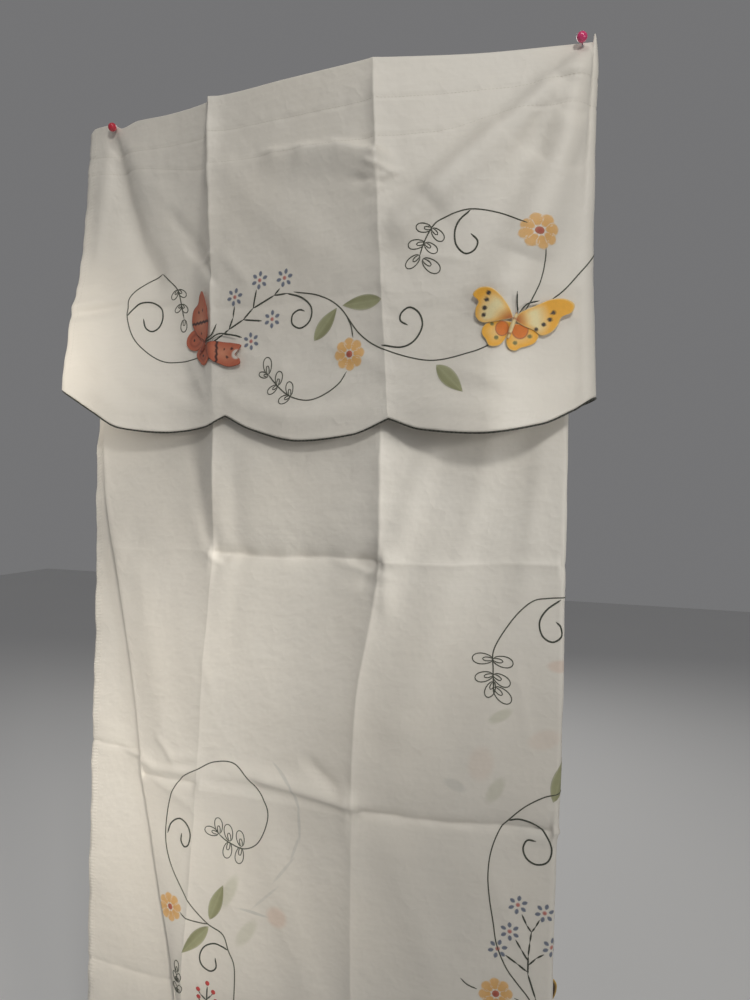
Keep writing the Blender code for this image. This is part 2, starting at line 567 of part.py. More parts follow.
def main():
    for thing in list(bpy.data.objects):
        bpy.data.objects.remove(thing, do_unlink=True)
    root = bpy.data.objects.new("curtain", None)
    bpy.context.scene.collection.objects.link(root)

    ivory = paint("ivory_cotton", (0.80, 0.76, 0.69), 0.62)
    green = paint("green_cord", (0.045, 0.050, 0.038), 0.70)
    yellow = paint("yellow_cotton", (0.78, 0.42, 0.07), 0.70)
    rust = paint("rust_cotton", (0.40, 0.10, 0.06), 0.70)
    brown = paint("brown_cotton", (0.14, 0.07, 0.03), 0.70)
    red = paint("red_plastic", (0.62, 0.03, 0.06), 0.25)
    pink = paint("pink_plastic", (0.70, 0.05, 0.18), 0.25)
    steel = paint("bright_steel", (0.62, 0.62, 0.64), 0.22, 1.0)

    hanging = valance_grid()
    valance = add("valance", sheet_mesh("valance", hanging, CLOTH), ivory, root)
    panel = add("panel", sheet_mesh("panel", panel_grid(), CLOTH), ivory, root)

    cord = bpy.data.curves.new("valance_piping", "CURVE")
    cord.dimensions = "3D"
    cord.bevel_depth = PIPING_R
    cord.bevel_resolution = 1
    cord.use_fill_caps = True
    spline = cord.splines.new("POLY")
    spline.points.add(len(hanging[-1]) - 1)
    for knot, point in zip(spline.points, hanging[-1]):
        knot.co = (point.x, point.y, point.z - PIPING_DROP, 1.0)
    add("valance_piping", cord, green, root)

    add("butterfly_yellow", butterfly_mesh("butterfly_yellow", YELLOW_WINGS,
                                           on_valance(0.2272, -0.2820, 0.003)), yellow, root)
    add("butterfly_rust", butterfly_mesh("butterfly_rust", RUST_WINGS,
                                         on_valance(-0.1230, -0.2800, 0.002)), rust, root)
    add("butterfly_brown", butterfly_mesh("butterfly_brown", BROWN_WINGS,
                                          behind_panel(0.2380, -0.9900)), brown, root)

    for side, plastic in (("left", red), ("right", pink)):
        entry, along, aim, stand_off = pin_frame(side)
        head = add(f"pin_{side}_head", turned_mesh(f"pin_{side}_head", ball_profile(HEAD_R), 14),
                   plastic, root)
        head.matrix_local = Matrix.Translation(entry - along * (HEAD_R + stand_off)) @ aim
        start = PIN_GAP - stand_off
        shank = [(0, start), (NEEDLE_R, start), (NEEDLE_R, NEEDLE_REACH - NEEDLE_TIP), (0, NEEDLE_REACH)]
        needle = add(f"pin_{side}_needle", turned_mesh(f"pin_{side}_needle", shank, 10), steel, root)
        needle.matrix_local = Matrix.Translation(entry) @ aim
        drill = turned_mesh(f"pin_{side}_hole", [(0, -0.004), (HOLE_R, -0.004), (HOLE_R, 0.02), (0, 0.02)], 10)
        cutter = add(f"pin_{side}_hole", drill, steel, root)
        cutter.matrix_local = Matrix.Translation(entry) @ aim
        cutter.hide_render = True
        cutter.display_type = "WIRE"
        for cloth in (valance, panel):
            cut = cloth.modifiers.new(f"{side}_hole", "BOOLEAN")
            cut.operation = "DIFFERENCE"
            cut.solver = "EXACT"
            cut.object = cutter


main()
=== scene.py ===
# %% [markdown]
# # An embroidered curtain, hung folded in half from two push pins
# The real thing is a thin ivory cotton curtain with a shorter scalloped valance sewn on at the top. It
# hangs folded in half, so there is a front half, a soft turn at the right and a back half. The packed
# solids hold its size and its main folds. Everything here is laid over them in the same metres: a finer
# cloth with its creases, the hems and their stitches, the embroidery, the sewn-on butterflies and the pins.

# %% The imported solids
import math

import bpy
import numpy as np
from mathutils import Matrix, Vector


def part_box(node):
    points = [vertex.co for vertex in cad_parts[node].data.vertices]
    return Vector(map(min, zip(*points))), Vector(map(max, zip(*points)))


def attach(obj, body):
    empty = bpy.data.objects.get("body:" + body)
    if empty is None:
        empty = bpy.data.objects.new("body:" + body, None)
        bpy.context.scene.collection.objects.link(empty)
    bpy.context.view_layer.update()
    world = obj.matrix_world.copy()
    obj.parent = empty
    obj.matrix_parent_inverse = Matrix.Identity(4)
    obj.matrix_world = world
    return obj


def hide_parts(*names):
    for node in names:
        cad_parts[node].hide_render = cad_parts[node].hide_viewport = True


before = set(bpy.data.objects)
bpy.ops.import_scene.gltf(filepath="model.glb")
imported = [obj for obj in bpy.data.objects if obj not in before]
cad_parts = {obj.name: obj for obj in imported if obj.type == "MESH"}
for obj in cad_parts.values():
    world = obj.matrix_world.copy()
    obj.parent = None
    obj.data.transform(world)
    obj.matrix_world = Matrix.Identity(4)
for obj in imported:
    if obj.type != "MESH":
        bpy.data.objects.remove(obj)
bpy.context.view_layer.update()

print("solids:", ", ".join(sorted(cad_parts)))

# %% [markdown]
# ## Camera, light and floor
# The curtain was seen from its right side, close up, so the lens is wide and the level lines run uphill.
# A pressed fold is seen because one flank is bright and the other shaded, so most of the light comes from
# the right: a small key light, a low side light and a weak one above. The left side is the lightest. Three
# narrow soft spots light it from across the curtain, so that each fold still throws its shadow to the left,
# and three more stand on the left. The floor is plain, a little under the hem.

# %% Camera, light and floor
EYE = (0.3521, -0.7763, -0.4355)
TURN_DEG = (88.64, -0.66, 19.616)
FLOOR_Z = -1.46

lens = bpy.data.cameras.new("camera")
lens.lens, lens.sensor_width, lens.clip_start = 27.0, 36.0, 0.01
camera = bpy.data.objects.new("camera", lens)
camera.location = EYE
camera.rotation_euler = [math.radians(a) for a in TURN_DEG]
bpy.context.scene.collection.objects.link(camera)
bpy.context.scene.camera = camera


def studio_light(name, place, target, size, watts, colour, cone=None):
    """A square soft light that faces a point, or a round spot with a faded rim where a cone is given."""
    lamp = bpy.data.lights.new(name, "SPOT" if cone else "AREA")
    lamp.energy, lamp.color = watts, colour
    if cone:
        lamp.shadow_soft_size, lamp.spot_size, lamp.spot_blend = size, math.radians(cone), 1.0
    else:
        lamp.shape, lamp.size = "SQUARE", size
    holder = bpy.data.objects.new(name, lamp)
    holder.location = place
    aim = Vector(target) - Vector(place)
    holder.rotation_euler = aim.to_track_quat("-Z", "Y").to_euler()
    bpy.context.scene.collection.objects.link(holder)


NEUTRAL, WARM = (1.0, 0.985, 0.95), (1.0, 0.94, 0.85)
studio_light("key", (0.95, -1.45, 0.75), (0.0, 0.0, -0.45), 0.25, 12.5, NEUTRAL)
studio_light("side", (1.45, -0.7, -0.3), (0.0, 0.0, -0.45), 0.45, 2.5, NEUTRAL)
studio_light("top", (0.1, -0.8, 1.0), (0.0, 0.0, -0.3), 0.4, 2.5, NEUTRAL)
studio_light("across", (1.2, -0.5, -0.2), (-0.35, 0.0, -0.62), 0.1, 24.0, NEUTRAL, 26)
studio_light("across_middle", (0.75, -0.8, -0.35), (-0.35, 0.0, -0.62), 0.1, 17.0, WARM, 24)
studio_light("across_low", (0.75, -0.8, -0.75), (-0.35, 0.0, -1.0), 0.1, 32.0, WARM, 26)
studio_light("left_high", (-0.6, -0.8, -0.3), (-0.36, 0.0, -0.29), 0.1, 22.0, WARM, 24)
studio_light("left_middle", (-0.8, -0.85, -0.7), (-0.19, 0.0, -0.72), 0.1, 11.0, WARM, 30)
studio_light("left_low", (-0.45, -0.95, -0.85), (-0.33, 0.0, -0.9), 0.1, 5.5, WARM, 30)
studio_light("back", (-0.6, 2.4, 0.9), (0.0, 0.0, -0.5), 1.6, 22.0, NEUTRAL)

world = bpy.data.worlds.new("studio")
world.use_nodes = True
world.node_tree.nodes["Background"].inputs["Color"].default_value = (0.98, 0.98, 1.0, 1.0)
world.node_tree.nodes["Background"].inputs["Strength"].default_value = 0.18
bpy.context.scene.world = world
bpy.context.scene.view_settings.view_transform = "Standard"

bpy.ops.mesh.primitive_plane_add(size=12.0, location=(0, 0, FLOOR_Z))
floor = bpy.context.object
floor.name = "floor"
print("floor at", FLOOR_Z)

# %% [markdown]
# ## Writing shaders as sums
# A material is a small circuit of nodes. One class wraps a socket, so that a pattern can be written like
# arithmetic, and one method adds any other node with its settings and its sockets.

# %% Sockets that add up
class Wire:
    """One socket of a material. Sums and products of wires become Math nodes."""

    def __init__(self, tree, socket=None):
        self.tree, self.socket = tree, socket

    def node(self, kind, settings, inputs, out=0):
        """Adds a node, sets it up and joins its sockets."""
        made = self.tree.nodes.new(kind)
        for name, value in settings.items():
            if name == "stops":
                for k, (at, colour) in enumerate(value):
                    stop = made.color_ramp.elements[k] if k < 2 else made.color_ramp.elements.new(at)
                    stop.position, stop.color = at, colour
            else:
                setattr(made, name, value)
        for name, value in inputs.items():
            if isinstance(value, Wire):
                self.tree.links.new(value.socket, made.inputs[name])
            else:
                made.inputs[name].default_value = value
        return Wire(self.tree, made.outputs[out])

    def math(self, operation, first, second):
        return self.node("ShaderNodeMath", {"operation": operation}, {0: first, 1: second})

    def __add__(self, other):
        return self.math("ADD", self, other)

    __radd__ = __add__

    def __sub__(self, other):
        return self.math("SUBTRACT", self, other)

    def __rsub__(self, other):
        return self.math("SUBTRACT", other, self)

    def __mul__(self, other):
        return self.math("MULTIPLY", self, other)

    __rmul__ = __mul__

    def mix(self, low, high):
        """Colour between low and high, by this wire."""
        inputs = {0: self, 6: low, 7: high}
        return self.node("ShaderNodeMix", {"data_type": "RGBA"}, inputs, out=2)


def new_material(name):
    """A material with its one shader, and a wire to write its patterns with."""
    material = bpy.data.materials.new(name)
    material.use_nodes = True
    return material, material.node_tree.nodes["Principled BSDF"], Wire(material.node_tree)


def colour(red, green, blue):
    return (red, green, blue, 1.0)


def body_place(wire):
    """Place on the piece itself, in metres."""
    return wire.node("ShaderNodeTexCoord", {}, {}, out=3)


def own_uv(wire):
    return wire.node("ShaderNodeTexCoord", {}, {}, out=2)


def uv_scaled(wire, across, down):
    """The piece's own UV map, stretched so that one unit is one metre."""
    return wire.node("ShaderNodeMapping", {}, {"Vector": own_uv(wire), "Scale": (across, down, 1.0)})


def noise(wire, vector, scale, detail=2.0, roughness=0.5):
    """Soft cloudy pattern around one half."""
    return wire.node("ShaderNodeTexNoise", {}, {"Vector": vector, "Scale": scale, "Detail": detail,
                                                "Roughness": roughness})


def set_relief(wire, shader, height, depth, strength=1.0):
    """Feeds a height pattern, in units of depth metres, to the shader's normal."""
    bump = wire.node("ShaderNodeBump", {}, {"Height": height, "Distance": depth, "Strength": strength})
    wire.tree.links.new(bump.socket, shader.inputs["Normal"])


def join(wire, shader, name, pattern):
    wire.tree.links.new(pattern.socket, shader.inputs[name])


print("shader helpers ready")

# %% [markdown]
# ## Lines that the cloth hangs on
# Cloth under its own weight hangs in long lines: a hem, a hollow, a pressed crease, a soft middle. Each
# line here is a short table from top to bottom, and a section of the cloth at any height is drawn through
# them. Lines of one third of the cloth join smoothly, and two thirds meet in a pressed crease.

# %% Tables of the hanging lines
def metres(table):
    """A table that is written in millimetres, in metres."""
    if isinstance(table, dict):
        return {name: metres(rows) for name, rows in table.items()}
    return tuple(map(metres, table)) if isinstance(table, tuple) else table / 1000


# Rows of every line: z, x, y, in millimetres.
VALANCE_FRONT = metres({
    "hem": ((0, -308.5, 0), (-120, -311, -8), (-190, -315, -14), (-230, -322.5, -19), (-330, -324.5, -34)),
    "left": ((0, -240, -3.5), (-120, -240, -10), (-240, -245, -21), (-380, -245, -40)),
    "hollow": ((0, -131, -17.5), (-120, -145, -13.5), (-240, -155, -14), (-380, -150, -29)),
    "crease_1": ((0, -121, -29), (-120, -117.5, -29.5), (-240, -114, -31), (-380, -108, -36)),
    "peak_1": ((0, -106, -26.5), (-120, -101, -28.5), (-240, -97, -30), (-380, -93.1, -34)),
    "middle": ((0, -20, -34.5), (-120, -18, -33), (-240, -12, -32), (-380, -5, -37)),
    "crease_2": ((0, 83.3, -43), (-120, 89.5, -42), (-240, 95.8, -41), (-380, 105.3, -41)),
    "right": ((0, 200, -14), (-120, 200, -25), (-240, 202, -37), (-380, 205, -50)),
    "turn": ((0, 298.1, 0), (-120, 291.5, -1), (-240, 287.5, -3), (-380, 288.5, -5)),
})
VALANCE_BACK = metres({
    "turn": ((0, 298.1, 7.8), (-120, 291.5, 19), (-240, 287.5, 27), (-380, 288.5, 33)),
    "peak_3": ((0, 105, -19), (-120, 105, 1), (-240, 105, 14), (-380, 105, 22)),
    "peak_4": ((0, -95, -11), (-120, -95, 9), (-240, -95, 19), (-380, -95, 26)),
    "hem": ((0, -290, 7.8), (-120, -284, 17), (-240, -280, 25), (-380, -276, 33)),
})
PANEL_FRONT = metres({
    "fold": ((0, -278, 2.6), (-120, -278, 1), (-340, -278, -2), (-383, -283.5, -5), (-450, -280, -6),
             (-570, -258.5, -6), (-710, -234, -6), (-800, -223, -6), (-918, -202, -6), (-1070, -176.5, -5),
             (-1200, -174, -4), (-1370, -172, -4)),
    "hollow": ((0, -131, -14.9), (-120, -140, -10.5), (-240, -148, -9), (-400, -150, -11),
               (-520, -150, -16), (-660, -176, -14.6), (-800, -176, -12.6), (-940, -174, -10.2),
               (-1080, -171, -7.6), (-1370, -166.5, -6.6)),
    "crease_1": ((0, -121, -26.4), (-120, -117.5, -25.5), (-240, -114.5, -25), (-400, -113.6, -25),
                 (-520, -116.4, -23), (-660, -129, -21), (-800, -139, -17), (-940, -153, -13),
                 (-1080, -165, -10), (-1200, -160, -9), (-1370, -156, -9)),
    "middle": ((0, -20, -31.9), (-120, -18, -28), (-240, -12, -25), (-400, -11, -24), (-520, -15, -22),
               (-660, -28, -19.5), (-800, -38, -16), (-940, -45, -13), (-1080, -49, -11),
               (-1370, -48, -10)),
    "crease_2": ((0, 83.3, -40.4), (-120, 88, -36), (-240, 91, -32), (-400, 92.1, -30), (-520, 92.4, -28.5),
                 (-585, 82.3, -27), (-670, 66.2, -25), (-785, 60.2, -21.5), (-940, 59.5, -17.5),
                 (-1080, 61, -14.5), (-1370, 60, -12.5)),
    "right": ((0, 200, -11.4), (-120, 198, -10), (-240, 192, -8), (-400, 186, -7), (-520, 180, -6.5),
              (-660, 175, -5.8), (-800, 170, -5), (-940, 170, -4), (-1080, 170, -3.5), (-1370, 172, -3.5)),
    "turn": ((0, 294.5, 2.6), (-120, 280, 7), (-240, 274.5, 9), (-400, 273.5, 10), (-560, 273.5, 10),
             (-760, 272, 9), (-845, 268.5, 9), (-940, 268, 9), (-1370, 267, 9)),
})
PANEL_BACK = metres({
    "turn": ((0, 294.5, 5.2), (-120, 280, 13), (-240, 274.5, 19), (-400, 273.5, 22), (-560, 273.5, 22),
             (-760, 272, 21), (-845, 268.5, 21), (-940, 268, 21), (-1370, 267, 21)),
    "quarter": ((0, 105, -21.6), (-120, 105, -5), (-240, 105, 4), (-400, 100, 9), (-800, 90, 13),
                (-1370, 90, 12)),
    "three_quarters": ((0, -95, -13.6), (-120, -95, 3), (-240, -95, 10), (-400, -95, 14), (-800, -90, 12),
                       (-1370, -90, 16)),
    "hem": ((0, -290, 5.2), (-120, -283, 10), (-240, -278, 15), (-400, -274, 18), (-800, -272, 20),
            (-1370, -270, 19)),
})
# The left pleat. Rows, in metres: z, x of the hem, hidden overlap, share of the fold that is closed.
PLEAT = ((0.0, -0.307, 0.004, 0.0), (-0.33, -0.301, 0.004, 0.0), (-0.365, -0.301, 0.0045, 0.55),
         (-0.405, -0.3012, 0.005, 1.0), (-0.52, -0.301, 0.007, 1.0), (-0.8, -0.3065, 0.017, 1.0),
         (-1.08, -0.314, 0.025, 1.0), (-1.37, -0.317, 0.028, 1.0))
# How much higher the strip behind the pleat hangs. Rows: z, lift, in millimetres.
STRIP_LIFT = metres(((0, 0), (-400, 4), (-520, 14), (-800, 26), (-1080, 22), (-1370, 8)))
# Rise of the top edge, and the scallops, each a smooth curve. Rows: x, z, in millimetres.
TOP_EDGE = metres(((-308.5, -4), (-301, 2), (-283, 3), (-272, 1), (-260, -4), (-235, 1), (-190, 0),
                   (270, 0), (296, 0)))
SCALLOPS_FRONT = metres((
    ((-326, -325), (-274.5, -354), (-233.4, -373.5), (-175, -379), (-125, -374), (-93.1, -361.6)),
    ((-93.1, -361.6), (-61.1, -377), (1.3, -390.5), (60.3, -385), (105.3, -369)),
    ((105.3, -369), (140, -380.5), (201.6, -385), (256.7, -375.5), (288.5, -359.5)),
))
SCALLOPS_BACK = metres((
    ((-280, -350), (-230, -379), (-185, -386), (-135, -381), (-95, -367)),
    ((-95, -367), (-55, -383), (5, -390), (65, -384), (105, -369)),
    ((105, -369), (150, -385), (200, -387), (250, -371), (288.5, -353)),
))
print("lines:", sum(map(len, (VALANCE_FRONT, VALANCE_BACK, PANEL_FRONT, PANEL_BACK))))

# %% [markdown]
# ## Folds and wrinkles
# A sheet that was folded away keeps its packing creases, and it pulls into ridges where it is pinned. Each
# is a straight soft ridge with its own height and its own reach on both sides. A negative height is a
# trough. The broad ones are in the solids too, and the fine ones are only here.

# %% Tables of folds and wrinkles
# Rows, in millimetres: x and z of both ends, height towards the viewer, reach on its left and right.
FOLDS_VALANCE = metres((
    (-272, -15, -229, -130, -4.4, 28, 10), (-229, -130, -199, -180, -4, 28, 11),
    (285, -10, 195, -105, 4.5, 20, 12), (195, -105, 120, -170, 4, 22, 14), (290, -10, 268, -125, 6, 20, 12),
    (268, -125, 228, -240, 5.2, 26, 16),
))
FOLDS_PANEL = metres((
    (195, -370, 105, -690, 4, 24, 28), (215, -860, 125, -1170, 3, 28, 28),
))
WRINKLES_VALANCE = metres((
    (-271, -12, -264, -50, -4, 12, 5), (-264, -50, -246, -105, -5.6, 18, 7),
    (-246, -105, -228, -150, -6, 22, 9), (-228, -150, -202, -195, -4.8, 22, 10),
    (-282, -10, -286, -150, 2.2, 10, 10), (-246, -30, -208, -110, 1.6, 8, 16),
    (-198, -90, -164, -130, 1.2, 10, 12), (-170, -132, -126, -188, -3, 8, 10),
    (-150, -170, -120, -200, -1.6, 4, 5), (-134, -184, -118, -178, 1.2, 3, 4),
    (-102, -79, -32, -75, 1, 12, 4), (-32, -75, 5, -78, 4.8, 20, 4), (5, -78, 48, -83, 8, 24, 4.5),
    (48, -83, 83, -96, 9, 24, 4.5), (70, -122, 89, -126, -2, 6, 4), (84, -108, 101, -116, 2, 3, 3),
    (85, -127, 104, -120, 1.8, 3, 4), (88, -140, 110, -133, -1.2, 4, 5), (-90, -90, -50, -135, 2.4, 18, 20),
    (-50, -135, 5, -185, 2.6, 18, 24), (-95, -185, -75, -205, 1.6, 8, 8), (0, -150, 50, -205, 1.4, 18, 18),
    (286, -18, 256, -49, 4, 9, 18), (256, -49, 208, -87, 9, 13, 28), (208, -87, 152, -139, 9.6, 16, 32),
    (152, -139, 117, -174, 5.6, 16, 30), (255, -40, 190, -150, 1.4, 10, 12),
    (288, -22, 278, -87, 6, 12, 12), (278, -87, 265, -130, 10, 18, 18),
    (265, -130, 243, -200, 10.4, 24, 24), (243, -200, 219, -262, 6, 26, 28),
    (219, -262, 190, -305, 2.2, 22, 28), (-312, -200, -288, -196, 1.2, 4, 6),
    (-314, -220, -286, -217, 1.4, 4, 6), (-308, -231, -262, -227, -4, 6, 6),
    (-262, -227, -190, -230, -2.4, 6, 6), (-260, -300, -175, -290, 1, 10, 8),
    (-205, -330, -150, -320, 1.2, 7, 9), (-145, -302, -128, -330, 1.2, 6, 6),
    (-106, -330, -70, -318, 1.4, 7, 8), (-40, -342, 40, -334, 1.2, 9, 10), (50, -295, 88, -312, 1.2, 8, 8),
    (140, -205, 170, -210, 1, 5, 5), (115, -255, 150, -250, 0.9, 6, 6),
    (-230, -315, -150, -348, 1.8, 10, 12), (-300, -250, -250, -330, 1.6, 14, 10),
    (-80, -290, -20, -315, 1.2, 12, 10), (185, -325, 230, -340, 1.4, 10, 10),
))
WRINKLES_PANEL = metres((
    (-150, -410, -124, -500, -3, 8, 14), (-124, -500, -112, -525, -1.4, 6, 8),
    (-88, -420, -86, -500, -1.8, 12, 14), (-86, -500, -104, -528, -1.2, 8, 8),
    (-118, -524, -106, -533, 2, 5, 4), (-112, -535, -96, -525, -1.2, 4, 5),
    (-82, -530, -90, -630, -1.2, 12, 14), (45, -523, 90, -533, 1.4, 5, 5), (76, -542, 92, -528, -1.4, 5, 6),
    (96, -525, 98, -560, 2.2, 7, 10), (-90, -768, -50, -776, 1.8, 6, 6), (-98, -779, -42, -778, 2, 5, 9),
    (-42, -778, 2, -782, 6.2, 5, 11), (2, -782, 54, -787, 7, 5, 12), (54, -787, 66, -793, 4.4, 5.5, 10),
    (12, -755, 36, -771, -4.2, 6, 8), (-240, -776, -200, -788, 2.8, 5, 6),
    (-200, -788, -165, -784, 3, 5, 6), (-172, -770, -145, -764, 2.2, 5, 5),
    (-190, -805, -155, -820, 1.2, 6, 7), (-195, -750, -180, -765, 1.8, 4, 4),
    (-130, -645, -120, -670, 1, 5, 5), (-62, -635, -5, -632, 0.8, 6, 5),
    (142, -395, 106, -515, 3.8, 14, 16), (106, -515, 98, -570, 1.6, 10, 14),
    (208, -385, 170, -530, 3, 12, 18), (170, -530, 130, -660, 3.4, 18, 24),
    (130, -660, 105, -750, 2.4, 18, 24), (256, -390, 238, -540, 2.2, 10, 14),
    (210, -660, 175, -790, 1.8, 16, 18), (236, -645, 244, -690, 1, 5, 6), (220, -870, 248, -930, 1.2, 8, 8),
    (105, -830, 150, -960, 2.2, 18, 20), (150, -960, 135, -1080, 1.6, 18, 18),
    (-50, -830, 20, -1050, 2, 20, 22), (-220, -560, -190, -730, 1.8, 18, 20),
    (-110, -840, -90, -930, 1, 10, 12),
))
# Pressed creases down the sheets. Rows: z, height, reach on its left, on its right, in millimetres.
PRESSED = {
    ("valance", "crease_1"): ((0.0, 2.0, 5, 6), (-0.04, 3.2, 6, 8), (-0.11, 3.0, 6, 9), (-0.15, 2.4, 7, 9),
                              (-0.175, 0.8, 6, 8), (-0.205, 2.2, 6, 7), (-0.26, 1.8, 7, 8),
                              (-0.32, -0.6, 14, 8), (-0.38, -1.8, 24, 9)),
    ("valance", "crease_2"): ((0.0, 4.6, 7, 10), (-0.09, 4.8, 7, 12), (-0.112, 5.4, 12, 16),
                              (-0.15, 4.8, 20, 16), (-0.18, 3.4, 18, 11), (-0.24, 3.4, 14, 13),
                              (-0.38, 3.2, 16, 18)),
    ("panel", "crease_1"): ((0.0, 3.2, 9, 9), (-0.43, 2.4, 9, 9), (-0.47, 0.8, 8, 9), (-0.52, 0.4, 6, 8),
                            (-0.6, 0.5, 3, 5), (-0.74, 0.5, 3, 5), (-0.95, 0.5, 3, 5),
                            (-1.37, 0.6, 4, 5)),
    ("panel", "crease_2"): ((0.0, 5.0, 26, 16), (-0.5, 5.0, 26, 16), (-0.56, 4.4, 24, 13),
                            (-0.62, 3.6, 16, 10), (-0.68, 3.2, 9, 9), (-0.79, 3.6, 8, 10),
                            (-0.86, 3.0, 12, 14), (-1.0, 3.2, 12, 16), (-1.37, 2.6, 12, 14)),
    ("valance", "peak_3"): ((0.0, 2.4, 9, 9), (-0.38, 1.8, 9, 9)),
    ("valance", "peak_4"): ((0.0, -1.6, 8, 8), (-0.2, -2.4, 9, 9), (-0.38, -1.4, 9, 9)),
    ("panel", "quarter"): ((0.0, 2.4, 9, 10), (-0.7, 3.0, 10, 10), (-1.37, 2.0, 9, 9)),
    ("panel", "three_quarters"): ((0.0, -2.4, 9, 9), (-0.7, -3.0, 10, 9), (-1.37, -2.0, 9, 9)),
}
# Level creases. Rows: sheet, z, then height, reach above, reach below in the left, middle and right third.
LEVEL_CREASES = (
    ("valance", -0.24, (0.3, 8, 8), (-1.4, 8, 7), (0.9, 9, 7)),
    ("panel", -0.52, (0.9, 6, 8), (-6.0, 10, 5.5), (2.0, 6, 8)),
    ("panel", -0.797, (-3.0, 5, 4), (0.4, 8, 8), (-4.6, 6, 4.5)),
    ("panel", -1.08, (-2.2, 7, 6), (-4.0, 8, 6), (2.4, 7, 9)),
)
# The same creases as they are in the solids: z, then height in each third, in millimetres.
BROAD_CREASES = metres(((-520, -1.5, -3, -1), (-800, 2, 3.5, -2.5), (-1080, -1.5, -3, -1.5)))
print("wrinkles:", len(WRINKLES_VALANCE) + len(WRINKLES_PANEL))

# %% [markdown]
# ## Sections of the cloth
# Numpy works on a whole section at once, so every formula takes a row of x values. The curve through a
# table never overshoots its rows: cloth between two held lines sags towards a straight line, not past it.

# %% Curves through tables
LAYER = 0.0026              # least distance between two layers of cloth
SIDE_REACH = 0.008
DROP = 1.37
CREASE_Z = -0.24
FOLD_FADE = 0.03
TOP_FADE = 0.05
TOP_STEP = 0.0008
TURN_STEPS = 14             # columns around the turn at the right
CROWDING = 1.5              # how much closer the columns stand beside a pressed crease
SHIELDED_Z = -0.41          # above this height the panel is kept behind the valance
EDGE_REACH = 0.012          # how far the waviness of a hem reaches into the cloth
WANDER, WANDER_LENGTH = 0.0016, 0.031                   # slow wander of a level crease
THIRD_BLEND, BROAD_BLEND = 0.01, 0.012                 # widths over which a level crease changes height
BROAD_REACH, BROAD_END = 0.035, 0.262                   # reach up and down, and where it ends at the sides


def smooth(rows, at, column=1):
    """Curve without overshoot through rows sorted by their first column, for a value or an array."""
    knots = np.array([row[0] for row in rows], float)
    values = np.array([row[column] for row in rows], float)
    if knots[0] > knots[-1]:
        knots, values = knots[::-1], values[::-1]
    at = np.clip(np.asarray(at, float), knots[0], knots[-1])
    step = np.diff(knots)
    rise = np.diff(values) / step
    slope = np.zeros(len(knots))
    slope[0], slope[-1] = rise[0], rise[-1]
    for k in range(1, len(knots) - 1):
        if rise[k - 1] * rise[k] > 0:
            a, b = 2 * step[k] + step[k - 1], step[k] + 2 * step[k - 1]
            slope[k] = (a + b) / (a / rise[k - 1] + b / rise[k])
    k = np.minimum(np.searchsorted(knots, at, side="right") - 1, len(step) - 1)
    t = (at - knots[k]) / step[k]
    return ((2 * t ** 3 - 3 * t ** 2 + 1) * values[k] + (t ** 3 - 2 * t ** 2 + t) * step[k] * slope[k]
            + (3 * t ** 2 - 2 * t ** 3) * values[k + 1] + (t ** 3 - t ** 2) * step[k] * slope[k + 1])


def ripple(along, *waves):
    """Uneven wave: each entry is length, height, phase."""
    return sum(height * np.sin(2 * math.pi * along / length + phase) for length, height, phase in waves)


def ridges(table, x, z):
    """Sum of soft ridges at points of the cloth. A row that starts where the last ended goes on with it."""
    total = np.zeros(np.broadcast(x, z).shape)
    fold, end = total, None
    for x0, z0, x1, z1, height, left, right in table:
        dx, dz = x1 - x0, z1 - z0
        length = math.hypot(dx, dz)
        along = ((x - x0) * dx + (z - z0) * dz) / length ** 2
        aside = ((x - x0) * dz - (z - z0) * dx) / length
        reach = np.where(aside < 0, right, left)
        beyond = np.maximum(0.0, np.maximum(-along, along - 1.0)) * length
        fade = min(0.02, max(0.005, 0.45 * length))
        one = height * np.exp(-(aside / reach) ** 2 - (beyond / fade) ** 2)
        if (x0, z0) == end:
            fold = np.where(np.abs(one) > np.abs(fold), one, fold)
        else:
            total, fold = total + fold, one
        end = (x1, z1)
    return (total + fold) * np.minimum(1.0, -np.asarray(z) / FOLD_FADE)


def pressed(sheet, lines, x, z, group=("crease_1", "crease_2")):
    """Sharp-topped ridges along the pressed lines, a little uneven along the way."""
    total = np.zeros(x.shape)
    for name in group:
        rows = PRESSED[sheet, name]
        aside = x - smooth(lines[name], z, 1)
        height, left, right = (smooth(rows, z, k) / 1000 for k in (1, 2, 3))
        wave = 1 + ripple(z, (0.047, 0.1, 0.5), (0.019, 0.07, 1.7))
        total += height * wave * np.exp(-np.abs(aside) / np.where(aside < 0, left, right))
    return total


def level_creases(sheet, lines, x, z, raised):
    """Sharp-topped ridges and troughs across the sheet, with their own height in each third."""
    left, right = smooth(lines["crease_1"], z, 1), smooth(lines["crease_2"], z, 1)
    third = np.clip((x - left) / THIRD_BLEND + 0.5, 0, 1) + np.clip((x - right) / THIRD_BLEND + 0.5, 0, 1)
    total = np.zeros(x.shape)
    for name, level, *rows in LEVEL_CREASES:
        if name == sheet:
            height, above, under = (np.interp(third, (0, 1, 2), [row[k] / 1000 for row in rows])
                                    for k in range(3))
            aside = z - level - raised(level) - WANDER * np.sin(x / WANDER_LENGTH)
            wave = 1 + ripple(x, (0.083, 0.18, 0.9), (0.037, 0.14, 2.2))
            total += height * wave * np.exp(-np.abs(aside) / np.where(aside < 0, under, above))
    return total


